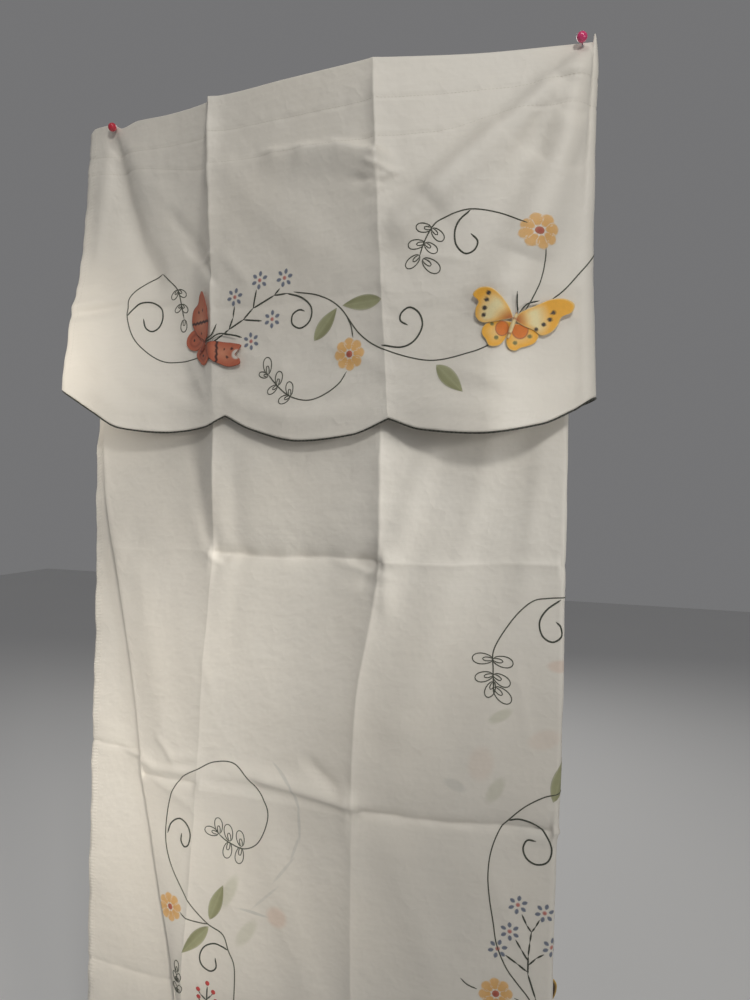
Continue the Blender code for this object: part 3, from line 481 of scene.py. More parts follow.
def section(lines, z, groups, counts):
    """Plan points of one span of cloth at one height, as two arrays."""
    xs, ys = [], []
    for group in groups:
        knots = [(float(smooth(lines[name], z, 1)), float(smooth(lines[name], z, 2))) for name in group]
        for k in range(len(knots) - 1):
            share = np.arange(counts[group[k]]) / counts[group[k]]
            if group[k].startswith("crease"):
                share = share ** CROWDING
            if group[k + 1].startswith("crease"):
                share = 1 - (1 - share) ** CROWDING
            x = knots[k][0] + (knots[k + 1][0] - knots[k][0]) * share
            xs.append(x)
            ys.append(smooth(knots, x))
        last = knots[-1]
    return np.append(np.concatenate(xs), last[0]), np.append(np.concatenate(ys), last[1])


def behind(x, y, others_x, others_y):
    """Moves plan points back where they would come too near to the layer in front of them."""
    order = np.argsort(others_x)
    for step in (-SIDE_REACH, 0.0, SIDE_REACH):
        y = np.maximum(y, np.interp(x + step, others_x[order], others_y[order]) + LAYER)
    return y


def half_turn(start, end):
    """Round turn from the front half to the back half, both ends left out."""
    angle = math.pi * np.arange(1, TURN_STEPS) / TURN_STEPS
    radius, middle = (end[1] - start[1]) / 2, (start[1] + end[1]) / 2
    return (start[0] + end[0]) / 2 + radius * np.sin(angle), middle - radius * np.cos(angle)


def scallop(table, x):
    """Height of the scalloped edge, for an array of x."""
    z = np.zeros(len(x))
    for k, rows in enumerate(table):
        inside = (x >= rows[0][0] if k else x < 9) & (x <= rows[-1][0] if k < len(table) - 1 else x < 9)
        z = np.where(inside, smooth(rows, x), z)
    return z


# %% [markdown]
# ## Both sheets as fields
# At each height the valance and the panel are drawn as one list of plan points, from the left hem over the
# front to the turn and back along the rear half. The panel lies behind the valance, and each rear half
# behind its front half, so layers are pushed apart where they would meet.

# %% Plan points of both sheets
VALANCE_GROUPS = (("hem", "left", "hollow", "crease_1"), ("crease_1", "peak_1", "middle", "crease_2"),
                  ("crease_2", "right", "turn"))
PANEL_GROUPS = (("fold", "hollow", "crease_1"), ("crease_1", "middle", "crease_2"),
                ("crease_2", "right", "turn"))
VALANCE_COUNTS = {"hem": 22, "left": 30, "hollow": 14, "crease_1": 9, "peak_1": 26, "middle": 32,
                  "crease_2": 34, "right": 30}
PANEL_COUNTS = {"fold": 28, "hollow": 12, "crease_1": 26, "middle": 32, "crease_2": 34, "right": 30}
BACK_COUNTS = {"turn": 24, "peak_3": 26, "peak_4": 24, "quarter": 24, "three_quarters": 24}
PLEAT_R, PLEAT_TURN_STEPS, STRIP_STEPS, STRIP_RISE = 0.00175, 6, 30, 0.002


def pleat(z, start):
    """Left pleat at one height, hem first: strip, hidden turns and the way to the field's fold."""
    hem_x, overlap, closed = (float(smooth(PLEAT, z, k)) for k in (1, 2, 3))
    heading, x, y = math.pi, float(start[0]), float(start[1])
    points = []
    for length, steps, turn in ((math.pi * PLEAT_R, PLEAT_TURN_STEPS, -math.pi * closed),
                                (overlap, 3, 0.0), (math.pi * PLEAT_R, PLEAT_TURN_STEPS, math.pi * closed)):
        for _ in range(steps):
            heading += turn / steps / 2
            x += math.cos(heading) * length / steps
            y += math.sin(heading) * length / steps
            heading += turn / steps / 2
            points.append((x, y))
    share = np.arange(1, STRIP_STEPS + 1) / STRIP_STEPS
    strip_x, strip_y = x + (hem_x - x) * share, y + STRIP_RISE * closed * share
    hidden = np.array(points)
    return (np.concatenate([hidden[:, 0], strip_x])[::-1], np.concatenate([hidden[:, 1], strip_y])[::-1])


def broad_crease(x, z):
    """The level creases as they are in the solids: shallow and wide."""
    left, right = (float(smooth(PANEL_FRONT[name], z, 1)) for name in ("crease_1", "crease_2"))
    third = np.clip((x - left) / BROAD_BLEND + 0.5, 0, 1) + np.clip((x - right) / BROAD_BLEND + 0.5, 0, 1)
    total = np.zeros(len(x))
    for level, *heights in BROAD_CREASES:
        height = np.interp(third, (0, 1, 2), heights)
        fade = np.clip((BROAD_END - np.abs(x)) / FOLD_FADE, 0, 1)
        total += height * fade * max(0.0, 1 - abs(z - level) / BROAD_REACH)
    return total


def plan(z):
    """Plan points of the valance and of the panel at one height, each as x, y arrays."""
    vx, vy = section(VALANCE_FRONT, z, VALANCE_GROUPS, VALANCE_COUNTS)
    vy = vy - ridges(FOLDS_VALANCE, vx, z)
    px, py = section(PANEL_FRONT, z, PANEL_GROUPS, PANEL_COUNTS)
    py = py - ridges(FOLDS_PANEL, px, z) - broad_crease(px, z)
    shielded = z >= SHIELDED_Z
    if shielded:
        py = behind(px, py, vx, vy)
    sx, sy = pleat(z, (px[0], py[0]))
    if shielded:
        sy = behind(sx, sy, vx, vy)
    qx, qy = section(PANEL_BACK, z, (("turn", "quarter", "three_quarters", "hem"),), BACK_COUNTS)
    if shielded:
        qy = behind(qx, qy, px, py)
    tx, ty = half_turn((px[-1], py[-1]), (qx[0], qy[0]))
    panel = np.concatenate([sx, px, tx, qx]), np.concatenate([sy, py, ty, qy])
    wx, wy = section(VALANCE_BACK, z, (("turn", "peak_3", "peak_4", "hem"),), BACK_COUNTS)
    if shielded:
        wy = behind(wx, wy, qx, qy)
    ux, uy = half_turn((vx[-1], vy[-1]), (wx[0], wy[0]))
    return (np.concatenate([vx, ux, wx]), np.concatenate([vy, uy, wy])), panel


PANEL_START = STRIP_STEPS + 2 * PLEAT_TURN_STEPS + 3       # column of the field's left fold
PANEL_END = PANEL_START + sum(PANEL_COUNTS[name] for group in PANEL_GROUPS for name in group[:-1])
VALANCE_END = sum(VALANCE_COUNTS[name] for group in VALANCE_GROUPS for name in group[:-1])
print("columns to the turn:", VALANCE_END, "on the valance,", PANEL_END, "on the panel")

# %% [markdown]
# ## The fine cloth
# Rows of the panel follow the packing creases, so that each crease has a row of its own. The valance's rows
# are spread between its level crease and its scalloped edge. Then the fine wrinkles, the puckers that a
# sewn hem makes and a little unevenness are added square to the cloth.

# %% A sheet that knows its own surface
class Sheet:
    """A grid of points from hem to hem.

    w is world x on the front half, and past it the way along the cloth.
    """

    def __init__(self, grid, first, last):
        self.grid, self.first, self.last = grid, first, last
        across = np.linalg.norm(np.diff(grid, axis=1), axis=2)
        self.walked = np.concatenate([np.zeros((len(grid), 1)), np.cumsum(across, axis=1)], axis=1)
        self.w = np.array(grid[:, :, 0])
        self.w[:, last:] = grid[:, last, 0][:, None] + self.walked[:, last:] - self.walked[:, last][:, None]
        self.w[:, :first] = (grid[:, first, 0][:, None]
                             - self.walked[:, first][:, None] + self.walked[:, :first])
        self.face()

    def face(self):
        """Outward direction at each point."""
        normal = np.cross(np.gradient(self.grid, axis=0), np.gradient(self.grid, axis=1))
        self.normal = normal / np.linalg.norm(normal, axis=2, keepdims=True)

    def find(self, w, z):
        """Row and column, with fractions, of a place on the cloth."""
        rows, columns = self.grid.shape[:2]
        i, j = 0.0, 0.0
        line_z = self.grid[:, self.last // 2, 2]
        for _ in range(3):
            i = float(np.interp(-z, -line_z, np.arange(rows)))
            k = min(int(i), rows - 2)
            line_w = (1 - i + k) * self.w[k] + (i - k) * self.w[k + 1]
            j = float(np.interp(w, line_w, np.arange(columns)))
            m = min(int(j), columns - 2)
            line_z = (1 - j + m) * self.grid[:, m, 2] + (j - m) * self.grid[:, m + 1, 2]
        return i, j

    def place(self, w, z, lift=0.0):
        """Point that stands off the cloth by lift, and the outward direction there."""
        i, j = self.find(w, z)
        k, m = min(int(i), self.grid.shape[0] - 2), min(int(j), self.grid.shape[1] - 2)
        f, g = i - k, j - m

        def blend(field):
            return ((1 - f) * ((1 - g) * field[k, m] + g * field[k, m + 1])
                    + f * ((1 - g) * field[k + 1, m] + g * field[k + 1, m + 1]))

        normal = blend(self.normal)
        normal = normal / np.linalg.norm(normal)
        return Vector(blend(self.grid) + normal * lift), Vector(normal)


def unevenness(x, z):
    """Slight waviness of loose cotton."""
    return (ripple(x + 0.4 * z, (0.083, 0.00022, 0.4)) + ripple(0.7 * x - z, (0.061, 0.00018, 1.9))
            + ripple(z + 0.2 * x, (0.117, 0.00022, 0.8)) + ripple(x - 0.5 * z, (0.047, 0.0001, 2.6)))


print("sheet helper ready")

# %% The valance's grid
ROWS_ABOVE, ROWS_BELOW = 104, 62
TIP_RISE, TURN_HEM_Z = 0.0085, -0.347
PUCKER_REACH, BELLY_RISE, BELLY_REACH = 0.02, 0.024, 0.013     # above the scalloped edge
SEAM_DEPTH, SEAM_WIDTH, SEAM_PUCKER, SEAM_REACH = 0.0006, 0.0018, 0.00018, 0.007


def make_valance():
    """The whole valance as one sheet."""
    levels = np.linspace(0.0, SHIELDED_Z, 124)
    plans = np.array([plan(z)[0] for z in levels])              # level, x or y, column
    columns = plans.shape[2]
    column = np.arange(columns)
    low_x = np.array([np.interp(0.37, -levels, plans[:, 0, c]) for c in column])
    start, end = VALANCE_END, VALANCE_END + TURN_STEPS
    edge = np.where(column <= start, scallop(SCALLOPS_FRONT, low_x), scallop(SCALLOPS_BACK, low_x))
    around = (column > start) & (column < end)
    bow = np.sin(math.pi * (column - start) / TURN_STEPS)
    foot = np.where(column - start <= TURN_STEPS / 2, edge[start], edge[end])
    edge = np.where(around, foot + (TURN_HEM_Z - foot) * bow, edge)
    first_steps = np.exp(-((column - start - 2.5) / 2.2) ** 2)
    grid = np.zeros((ROWS_ABOVE + ROWS_BELOW + 1, columns, 3))
    for row in range(len(grid)):
        if row <= ROWS_ABOVE:
            z = np.full(columns, CREASE_Z * row / ROWS_ABOVE)
        else:
            z = CREASE_Z + (edge - CREASE_Z) * (row - ROWS_ABOVE) / ROWS_BELOW
        for c in column:
            grid[row, c, 0] = np.interp(-z[c], -levels, plans[:, 0, c])
            grid[row, c, 1] = np.interp(-z[c], -levels, plans[:, 1, c])
        rise = smooth(TOP_EDGE, grid[row, :, 0]) + np.where(around, TIP_RISE * first_steps, 0.0)
        grid[row, :, 2] = z + rise * np.maximum(0.0, 1 + z / TOP_FADE)
    sheet = Sheet(grid, 0, VALANCE_END)
    x, z = grid[:, :, 0], grid[:, :, 2]
    front = column[None, :] <= VALANCE_END
    fade = np.clip(-z / FOLD_FADE, 0.25, 1)
    raised = ridges(WRINKLES_VALANCE, x, z) + pressed("valance", VALANCE_FRONT, x, z) * fade
    height = np.where(front, raised, 0.0)
    height += np.where(front, 0.0, pressed("valance", VALANCE_BACK, x, z, ("peak_3", "peak_4"))) * fade
    height += level_creases("valance", VALANCE_FRONT, x, z, lambda level: 0.0) * np.where(front, 1.0, 0.7)
    height += np.exp(-sheet.walked / EDGE_REACH) * ripple(z, (0.029, 0.0004, 0.3), (0.061, 0.0006, 1.1))
    far = sheet.walked[:, -1:] - sheet.walked
    height += np.exp(-far / EDGE_REACH) * ripple(z, (0.033, 0.0004, 0.9), (0.057, 0.0006, 2.1))
    above = z - edge[None, :]
    pucker = ripple(sheet.walked, (0.022, 0.0001, 0.5), (0.036, 0.0001, 2.0), (0.061, 0.0003, 0.2))
    height += np.exp(-above / PUCKER_REACH) * pucker * np.clip(above / 0.004 + 0.35, 0, 1)
    belly = np.where(front, smooth(BELLY, sheet.w), 0.0)
    height += belly * np.exp(-((above - BELLY_RISE) / BELLY_REACH) ** 2)
    for seam in HEADING_SEAMS:
        aside = z - smooth(seam, sheet.w)
        height -= SEAM_DEPTH * np.exp(-(aside / SEAM_WIDTH) ** 2)
        height += SEAM_PUCKER * np.exp(-np.abs(aside) / SEAM_REACH) * ripple(
            sheet.w, (0.019, 1, 0), (0.033, 1, 2), (0.057, 1, 0.7))
    height += unevenness(sheet.w, z) * np.clip(-z / 0.03, 0, 1)
    sheet.grid = sheet.grid + sheet.normal * height[:, :, None]
    sheet.face()
    return sheet


# Two stitched lines that close the flat rod pocket, as w, z, and how far the cloth bulges above its
# scalloped edge, as w, height. All in millimetres.
HEADING_SEAMS = metres((
    ((-310, -34), (-120, -39), (90, -41), (200, -38), (320, -36), (900, -40)),
    ((-310, -56), (-240, -58), (-120, -75), (0, -78), (90, -80), (150, -78), (210, -66), (320, -62),
     (900, -80)),
))
BELLY = metres(((-330, 0.4), (-240, 1.8), (-170, 2.4), (-120, 0.8), (-70, 2), (10, 3.6), (70, 3),
                (110, 0.6), (190, 1.4), (290, 0.4)))
VALANCE = make_valance()
print("valance grid", VALANCE.grid.shape[:2], "width", round(float(VALANCE.walked[60, -1]), 3))

# %% The panel's grid
def panel_heights():
    """Heights of the panel's rows, closer together beside every level crease."""
    stops = [0.0, CREASE_Z, -0.52, -0.8, -1.08, -DROP]
    heights = [stops[0]]
    for top, foot in zip(stops, stops[1:]):
        steps = round((top - foot) / (0.0052 if top < 0 else 0.01))
        share = np.arange(1, steps + 1) / steps
        heights += list(top + (foot - top) * (share - 0.7 * np.sin(2 * math.pi * share) / (2 * math.pi)))
    return heights


def keep_behind(sheet):
    """Moves the panel's hidden part back where a wrinkle of the valance would touch it."""
    faces = VALANCE.grid[:, :VALANCE_END + 1]
    for row in sheet.grid:
        z = float(np.median(row[:PANEL_END, 2]))
        if z < -0.4:
            break
        cut = np.array([[np.interp(-z, -faces[:, c, 2], faces[:, c, k]) for k in (0, 1)]
                        for c in range(faces.shape[1])])
        cut[faces[-1, :, 2] > z + 0.004, 1] = -1.0
        least = np.interp(row[:PANEL_END + 1, 0], cut[:, 0], cut[:, 1]) + 0.0016
        row[:PANEL_END + 1, 1] = np.maximum(row[:PANEL_END + 1, 1], least)


def make_panel():
    """The whole panel as one sheet."""
    heights = panel_heights()
    grid = []
    for z in heights:
        x, y = plan(z)[1]
        column = np.arange(len(x))
        share = np.clip((PANEL_START - column) / (2 * PLEAT_TURN_STEPS), 0, 1)
        fade = max(0.0, 1 + z / TOP_FADE)
        rise = z + smooth(STRIP_LIFT, z) * share + (smooth(TOP_EDGE, x) - TOP_STEP) * fade
        grid.append(np.stack([x, y, rise], axis=1))
    sheet = Sheet(np.array(grid), PANEL_START, PANEL_END)
    x, z = sheet.grid[:, :, 0], sheet.grid[:, :, 2]
    column = np.arange(x.shape[1])[None, :]
    front, strip = column <= PANEL_END, column < STRIP_STEPS
    shown = np.clip((-z - 0.36) / 0.05, 0, 1)
    height = np.where(front, ridges(WRINKLES_PANEL, x, z) + pressed("panel", PANEL_FRONT, x, z), 0.0) * shown
    height += np.where(front, 0.0, pressed("panel", PANEL_BACK, x, z, ("quarter", "three_quarters"))) * shown
    raised = lambda level: np.where(strip, smooth(STRIP_LIFT, level), 0.0)
    height += level_creases("panel", PANEL_FRONT, x, z, raised) * np.where(front, 1.0, -0.7)
    edge = sheet.walked
    height += shown * np.exp(-edge / EDGE_REACH) * ripple(z, (0.031, 0.0004, 0.3), (0.067, 0.0006, 1.1),
                                                     (0.113, 0.0006, 2.6)) * front
    far = sheet.walked[:, -1:] - sheet.walked
    height += np.exp(-far / EDGE_REACH) * ripple(z, (0.037, 0.0004, 0.9), (0.071, 0.0006, 2.1))
    foot = z + DROP
    height += np.exp(-foot / EDGE_REACH) * ripple(sheet.walked, (0.031, 0.0008, 0.0), (0.047, 0.0008, 1.2))
    height += unevenness(sheet.w, z) * shown
    hidden = (column >= STRIP_STEPS) & (column <= PANEL_START)
    sheet.grid = sheet.grid + sheet.normal * np.where(hidden, 0.0, height)[:, :, None]
    keep_behind(sheet)
    sheet.face()
    return sheet


PANEL = make_panel()
print("panel grid", PANEL.grid.shape[:2], "width", round(float(PANEL.walked[0, -1]), 3), "at the top,",
      round(float(PANEL.walked[-1, -1]), 3), "at the hem")

# %% [markdown]
# ## From grids to cloth
# The real edges are turned inward and sewn down. So the mesh goes on past each edge: a tight turn, then a
# few columns or rows just behind the face. One open surface with turned hems looks like cloth of the right
# thickness from every side, and needs no second skin inside.

# %% Hems and meshes
HEM_GAP = 0.0009
SIDE_HEM, FOOT_HEM, PIPED_HEM, TOP_TURN = 0.011, 0.026, 0.005, 0.0026
WIDE, LONG = 1.3, 1.45                 # metres that the UV map's unit square stands for


def add_piece(name, mesh, material, replaced=()):
    """Adds a finished piece, with its material and the nodes that it stands for."""
    thing = bpy.data.objects.new(name, mesh)
    mesh.materials.append(material)
    bpy.context.scene.collection.objects.link(thing)
    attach(thing, "root")
    if replaced:
        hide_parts(*replaced)
    return thing


def inward(sheet, distance, left):
    """Points and normals of the column that lies this far in from a side edge."""
    rows = len(sheet.grid)
    reach = sheet.walked if left else sheet.walked[:, -1:] - sheet.walked
    points, normals = np.zeros((rows, 3)), np.zeros((rows, 3))
    for i in range(rows):
        order = slice(None) if left else slice(None, None, -1)
        for k in range(3):
            points[i, k] = np.interp(distance, reach[i, order], sheet.grid[i, order, k])
            normals[i, k] = np.interp(distance, reach[i, order], sheet.normal[i, order, k])
    return points, normals


def with_side_hems(sheet):
    """The grid with both side edges turned inward, its outward directions, and its flat coordinates."""
    parts, outward, flat = [sheet.grid], [sheet.normal], [sheet.walked]
    for left in (True, False):
        edge, face = inward(sheet, 0.0, left)
        into = inward(sheet, 0.002, left)[0] - edge
        into /= np.linalg.norm(into, axis=1)[:, None]
        hem = [edge - into * 0.0003 - face * HEM_GAP / 2]
        walk = [0.0006]
        for distance in (0.0006, 0.004, SIDE_HEM):
            point, normal = inward(sheet, distance, left)
            hem.append(point - normal * HEM_GAP)
            walk.append(distance + 0.0012)
        block, faces = np.stack(hem, axis=1), np.repeat(face[:, None], len(hem), axis=1)
        steps = np.array(walk)[None, :]
        if left:
            parts.insert(0, block[:, ::-1])
            outward.insert(0, faces)
            flat.insert(0, -np.repeat(steps, len(edge), axis=0)[:, ::-1])
        else:
            parts.append(block)
            outward.append(faces)
            flat.append(sheet.walked[:, -1:] + steps)
    return np.concatenate(parts, 1), np.concatenate(outward, 1), np.concatenate(flat, 1)


def below(grid, distance):
    """Row of points that lies this far up from the lower edge, along the cloth."""
    step = np.linalg.norm(np.diff(grid[::-1], axis=0), axis=2)
    reach = np.concatenate([np.zeros((1, grid.shape[1])), np.cumsum(step, axis=0)])
    row = np.zeros((grid.shape[1], 3))
    for j in range(grid.shape[1]):
        for k in range(3):
            row[j, k] = np.interp(distance, reach[:, j], grid[::-1, j, k])
    return row


def with_foot(grid, outward, across, down, rises):
    """Adds rows that turn up inside the lower edge."""
    rows, face, lengths = [], outward[-1], []
    for k, rise in enumerate(rises):
        gap = HEM_GAP * (0.5 if k == 0 else 1.0)
        rows.append(below(grid, max(rise, 0.0)) - face * gap - np.array((0, 0, 0.0003 if k == 0 else 0)))
        lengths.append(down[-1] + 0.0006 + rise)
    rows = np.array(rows)
    count = len(rises)
    return (np.concatenate([grid, rows]), np.concatenate([across, np.repeat(across[-1:], count, 0)]),
            np.concatenate([down, np.array(lengths)]))


def grid_mesh(name, grid, across, down):
    """Quads between the grid's points, smooth, with a UV map in the cloth's flat measure and a hem mark."""
    rows, columns = grid.shape[:2]
    at = np.arange(rows * columns).reshape(rows, columns)
    corners = np.stack([at[:-1, :-1], at[1:, :-1], at[1:, 1:], at[:-1, 1:]], axis=2).reshape(-1, 4)
    mesh = bpy.data.meshes.new(name)
    mesh.from_pydata(grid.reshape(-1, 3).tolist(), [], corners.tolist())
    flat = np.stack([(across + 0.02) / WIDE, (LONG - 0.03 - down) / LONG], axis=2).reshape(-1, 2)
    mesh.uv_layers.new(name="flat").data.foreach_set("uv", flat[corners.reshape(-1)].reshape(-1))
    far_edge = across.max(axis=1, keepdims=True) - SIDE_HEM - 0.0012
    inside = np.maximum(np.minimum(across, far_edge - across), 0)
    mesh.attributes.new("hem", "FLOAT", "POINT").data.foreach_set(
        "value", np.exp(-(inside / 0.009) ** 4).reshape(-1))
    mesh.shade_smooth()
    return mesh


def down_lengths(grid):
    """Way down the cloth from the top row, along the columns."""
    step = np.linalg.norm(np.diff(grid, axis=0), axis=2)
    return np.concatenate([np.zeros((1, grid.shape[1])), np.cumsum(step, axis=0)])


def panel_mesh():
    grid, outward, across = with_side_hems(PANEL)
    return grid_mesh("panel_cloth", *with_foot(grid, outward, across, down_lengths(grid),
                                               (0.0, 0.0008, 0.008, FOOT_HEM)))


def valance_mesh():
    """The valance's upper edge rolls over to the panel behind it."""
    grid, outward, across = with_side_hems(VALANCE)
    down = down_lengths(grid)
    grid, across, down = with_foot(grid, outward, across, down, (0.0, 0.0006, PIPED_HEM))
    top, face = grid[0], outward[0]
    roll = []
    for angle in (180, 140, 100, 60, 30):
        a = math.radians(angle)
        back = face * (TOP_TURN / 2 * (1 - math.cos(a)))
        roll.append(top - back + np.array((0, 0, 0.0011 * math.sin(a))))
    count = len(roll)
    grid = np.concatenate([np.array(roll), grid])
    across = np.concatenate([np.repeat(across[:1], count, 0), across])
    ways = np.linspace(-0.004, -0.0008, count)[:, None] * np.ones((1, grid.shape[1]))
    return grid_mesh("valance_cloth", grid, across, np.concatenate([ways, down]))


# %% [markdown]
# ## Ivory cotton
# A soft, slightly shiny cotton with a close weave: threads about a third of a millimetre apart, some a
# little thicker than others. The colour drifts very slightly from warm to cool. Fine crinkles lie between
# the folds, and the stitched hems pucker a little. The panel carries faint oval tints where the print of the
# rear half shows through.

# %% Cotton
IVORY, IVORY_WARM, IVORY_COOL = (0.795, 0.752, 0.672), (0.8, 0.742, 0.645), (0.76, 0.735, 0.68)
OLIVE_GHOST, PINK_GHOST, GREY_GHOST = (0.5, 0.5, 0.36), (0.72, 0.5, 0.38), (0.5, 0.5, 0.46)
# Rows: w, z, half length, half width, turn in degrees, colour, strength.
GHOSTS = (
    (-0.0955, -0.9175, 0.024, 0.0085, 64, OLIVE_GHOST, 0.44),
    (-0.0735, -0.963, 0.022, 0.0085, 53, OLIVE_GHOST, 0.38),
    (-0.033, -0.935, 0.014, 0.013, 0, PINK_GHOST, 0.44),
    (-0.064, -0.9365, 0.02, 0.002, -4, GREY_GHOST, 0.5),
    (-0.024, -0.768, 0.02, 0.002, -42, GREY_GHOST, 0.42),
    (-0.008, -0.79, 0.016, 0.002, -66, GREY_GHOST, 0.42),
    (-0.004, -0.82, 0.022, 0.002, 90, GREY_GHOST, 0.42),
    (-0.01, -0.85, 0.016, 0.002, 70, GREY_GHOST, 0.36),
    (-0.024, -0.878, 0.022, 0.002, 52, GREY_GHOST, 0.34),
    (-0.048, -0.915, 0.026, 0.0018, 44, GREY_GHOST, 0.3),
    (0.217, -0.678, 0.014, 0.006, 30, OLIVE_GHOST, 0.42),
    (0.213, -0.757, 0.016, 0.0075, 60, OLIVE_GHOST, 0.36),
    (0.171, -0.755, 0.013, 0.0065, -20, GREY_GHOST, 0.3),
    (0.276, -0.623, 0.013, 0.007, 0, PINK_GHOST, 0.4),
    (0.262, -0.7, 0.018, 0.011, 20, PINK_GHOST, 0.2),
    (0.198, -0.73, 0.02, 0.014, 80, PINK_GHOST, 0.18),
    (0.252, -0.8, 0.02, 0.012, -30, GREY_GHOST, 0.18),
)


def shine_through(wire, tone):
    """The rear half's print, seen faintly through the front half: soft oval marks at x and z."""
    body = body_place(wire)
    for w, z, long_, wide, turn, shade, amount in GHOSTS:
        spot = wire.node("ShaderNodeMapping", {"vector_type": "TEXTURE"},
                         {"Vector": body, "Location": (w, 0.0, z),
                          "Rotation": (0.0, -math.radians(turn), 0.0), "Scale": (long_, 1000.0, wide)})
        far = wire.node("ShaderNodeVectorMath", {"operation": "LENGTH"}, {0: spot}, out=1)
        share = wire.node("ShaderNodeMapRange", {"interpolation_type": "SMOOTHSTEP"},
                          {"Value": far, "From Min": 1.2, "From Max": 0.6, "To Max": amount})
        tone = share.mix(tone, colour(*shade))
    return tone


def cotton(name, ghosts=False):
    """Plain weave with slubs, a soft sheen, fine crinkles and, along the hems, puckers between stitches."""
    material, shader, wire = new_material(name)
    flat = uv_scaled(wire, WIDE, LONG)
    drift = noise(wire, flat, 5.0, 3.0)
    cloud = noise(wire, flat, 38.0, 4.0, 0.6)
    tone = drift.mix(colour(*IVORY_WARM), colour(*IVORY_COOL))
    tone = (cloud * 0.5).mix(tone, colour(*IVORY))
    if ghosts:
        tone = shine_through(wire, tone)
    warp = wire.node("ShaderNodeTexWave", {"bands_direction": "X"},
                     {"Vector": flat, "Scale": 480.0, "Distortion": 1.2, "Detail": 1.0, "Detail Scale": 2.0})
    weft = wire.node("ShaderNodeTexWave", {"bands_direction": "Y"},
                     {"Vector": flat, "Scale": 450.0, "Distortion": 1.5, "Detail": 1.0, "Detail Scale": 2.0})
    slub_vector = wire.node("ShaderNodeMapping", {}, {"Vector": flat, "Scale": (8.0, 260.0, 1.0)})
    slub = noise(wire, slub_vector, 1.0, 2.0)
    weave = warp * 0.5 + weft * 0.5
    folded = noise(wire, flat, 24.0, 3.0, 0.55) - 0.5
    crinkle = wire.math("ABSOLUTE", folded, 0.0)
    buckle = noise(wire, flat, 60.0, 2.0)
    hem = wire.node("ShaderNodeAttribute", {"attribute_name": "hem"}, {}, out=2)
    pucker = wire.node("ShaderNodeTexWave", {"bands_direction": "Y"},
                       {"Vector": flat, "Scale": 76.0, "Distortion": 2.2, "Detail": 2.0,
                        "Detail Scale": 1.2})
    shade = (weave * 0.05 + slub * 0.08 + 0.9)
    toned = wire.node("ShaderNodeMix", {"data_type": "RGBA", "blend_type": "MULTIPLY"},
                      {0: 0.55, 6: tone, 7: shade}, out=2)
    join(wire, shader, "Base Color", toned)
    join(wire, shader, "Roughness", cloud * 0.12 + 0.34)
    shader.inputs["Sheen Weight"].default_value = 0.1
    shader.inputs["Sheen Roughness"].default_value = 0.45
    shader.inputs["Specular IOR Level"].default_value = 0.5
    set_relief(wire, shader, weave * 0.5 + slub * 0.4 + cloud * 0.5 - crinkle * 11.0 + buckle * 3.5
               + hem * pucker * 1.5, 0.00024, 0.8)
    return material


# %% The two sheets
panel_cloth = add_piece("panel_cloth", panel_mesh(), cotton("panel_cotton_weave", ghosts=True),
                        ("panel",))
valance_cloth = add_piece("valance_cloth", valance_mesh(), cotton("valance_cotton_weave"),
                          ("valance",))
print("panel", len(panel_cloth.data.polygons) * 2, "triangles, valance",
      len(valance_cloth.data.polygons) * 2, "triangles")

# %% [markdown]
# ## Threads on the cloth
# Embroidery is thread that stands a little proud of the cloth. A vine is a few rows of stem stitch: a low
# rounded bead with slanting stitches. It is drawn here as a half-oval strand that follows the cloth's own
# surface through a few anchor points. Its UV map runs along the strand, so the stitches slant along it.

# %% Strands
def curve_through(points, spacing):
    """Even points on a smooth curve through anchor points."""
    anchors = np.array(points, float)
    ends = np.concatenate([[2 * anchors[0] - anchors[1]], anchors, [2 * anchors[-1] - anchors[-2]]])
    dense = []
    for k in range(1, len(ends) - 2):
        a, b, c, d = ends[k - 1:k + 3]
        t = np.linspace(0, 1, 12, endpoint=False)[:, None]
        dense.append(0.5 * (2 * b + (c - a) * t + (2 * a - 5 * b + 4 * c - d) * t ** 2
                            + (3 * b - a - 3 * c + d) * t ** 3))
    dense = np.concatenate(dense + [anchors[-1:]])
    way = np.concatenate([[0], np.cumsum(np.linalg.norm(np.diff(dense, axis=0), axis=1))])
    steps = max(3, round(way[-1] / spacing))
    even = np.linspace(0, way[-1], steps + 1)
    return np.stack([np.interp(even, way, dense[:, k]) for k in range(dense.shape[1])], axis=1)


class Bundle:
    """Collects many small shapes into one mesh, with a UV map and a colour at each point."""

    def __init__(self, name):
        self.name, self.points, self.faces, self.flat, self.paint = name, [], [], [], []

    def add(self, points, faces, flat=None, paint=None):
        first = len(self.points)
        self.points += [tuple(p) for p in points]
        self.faces += [tuple(first + k for k in face) for face in faces]
        self.flat += [tuple(f) for f in (flat if flat is not None else [(0, 0)] * len(points))]
        self.paint += [tuple(c) for c in (paint if paint is not None else [(1, 1, 1, 1)] * len(points))]

    def mesh(self):
        mesh = bpy.data.meshes.new(self.name)
        mesh.from_pydata(self.points, [], self.faces)
        corner = np.zeros(len(mesh.loops), int)
        mesh.loops.foreach_get("vertex_index", corner)
        flat = np.array(self.flat, float)[corner]
        mesh.uv_layers.new(name="strand").data.foreach_set("uv", flat.reshape(-1))
        layer = mesh.color_attributes.new("paint", "FLOAT_COLOR", "POINT")
        layer.data.foreach_set("color", np.array(self.paint, float).reshape(-1))
        mesh.shade_smooth()
        return mesh


STRAND_UNIT = 0.1          # metres of strand in one unit of its UV map


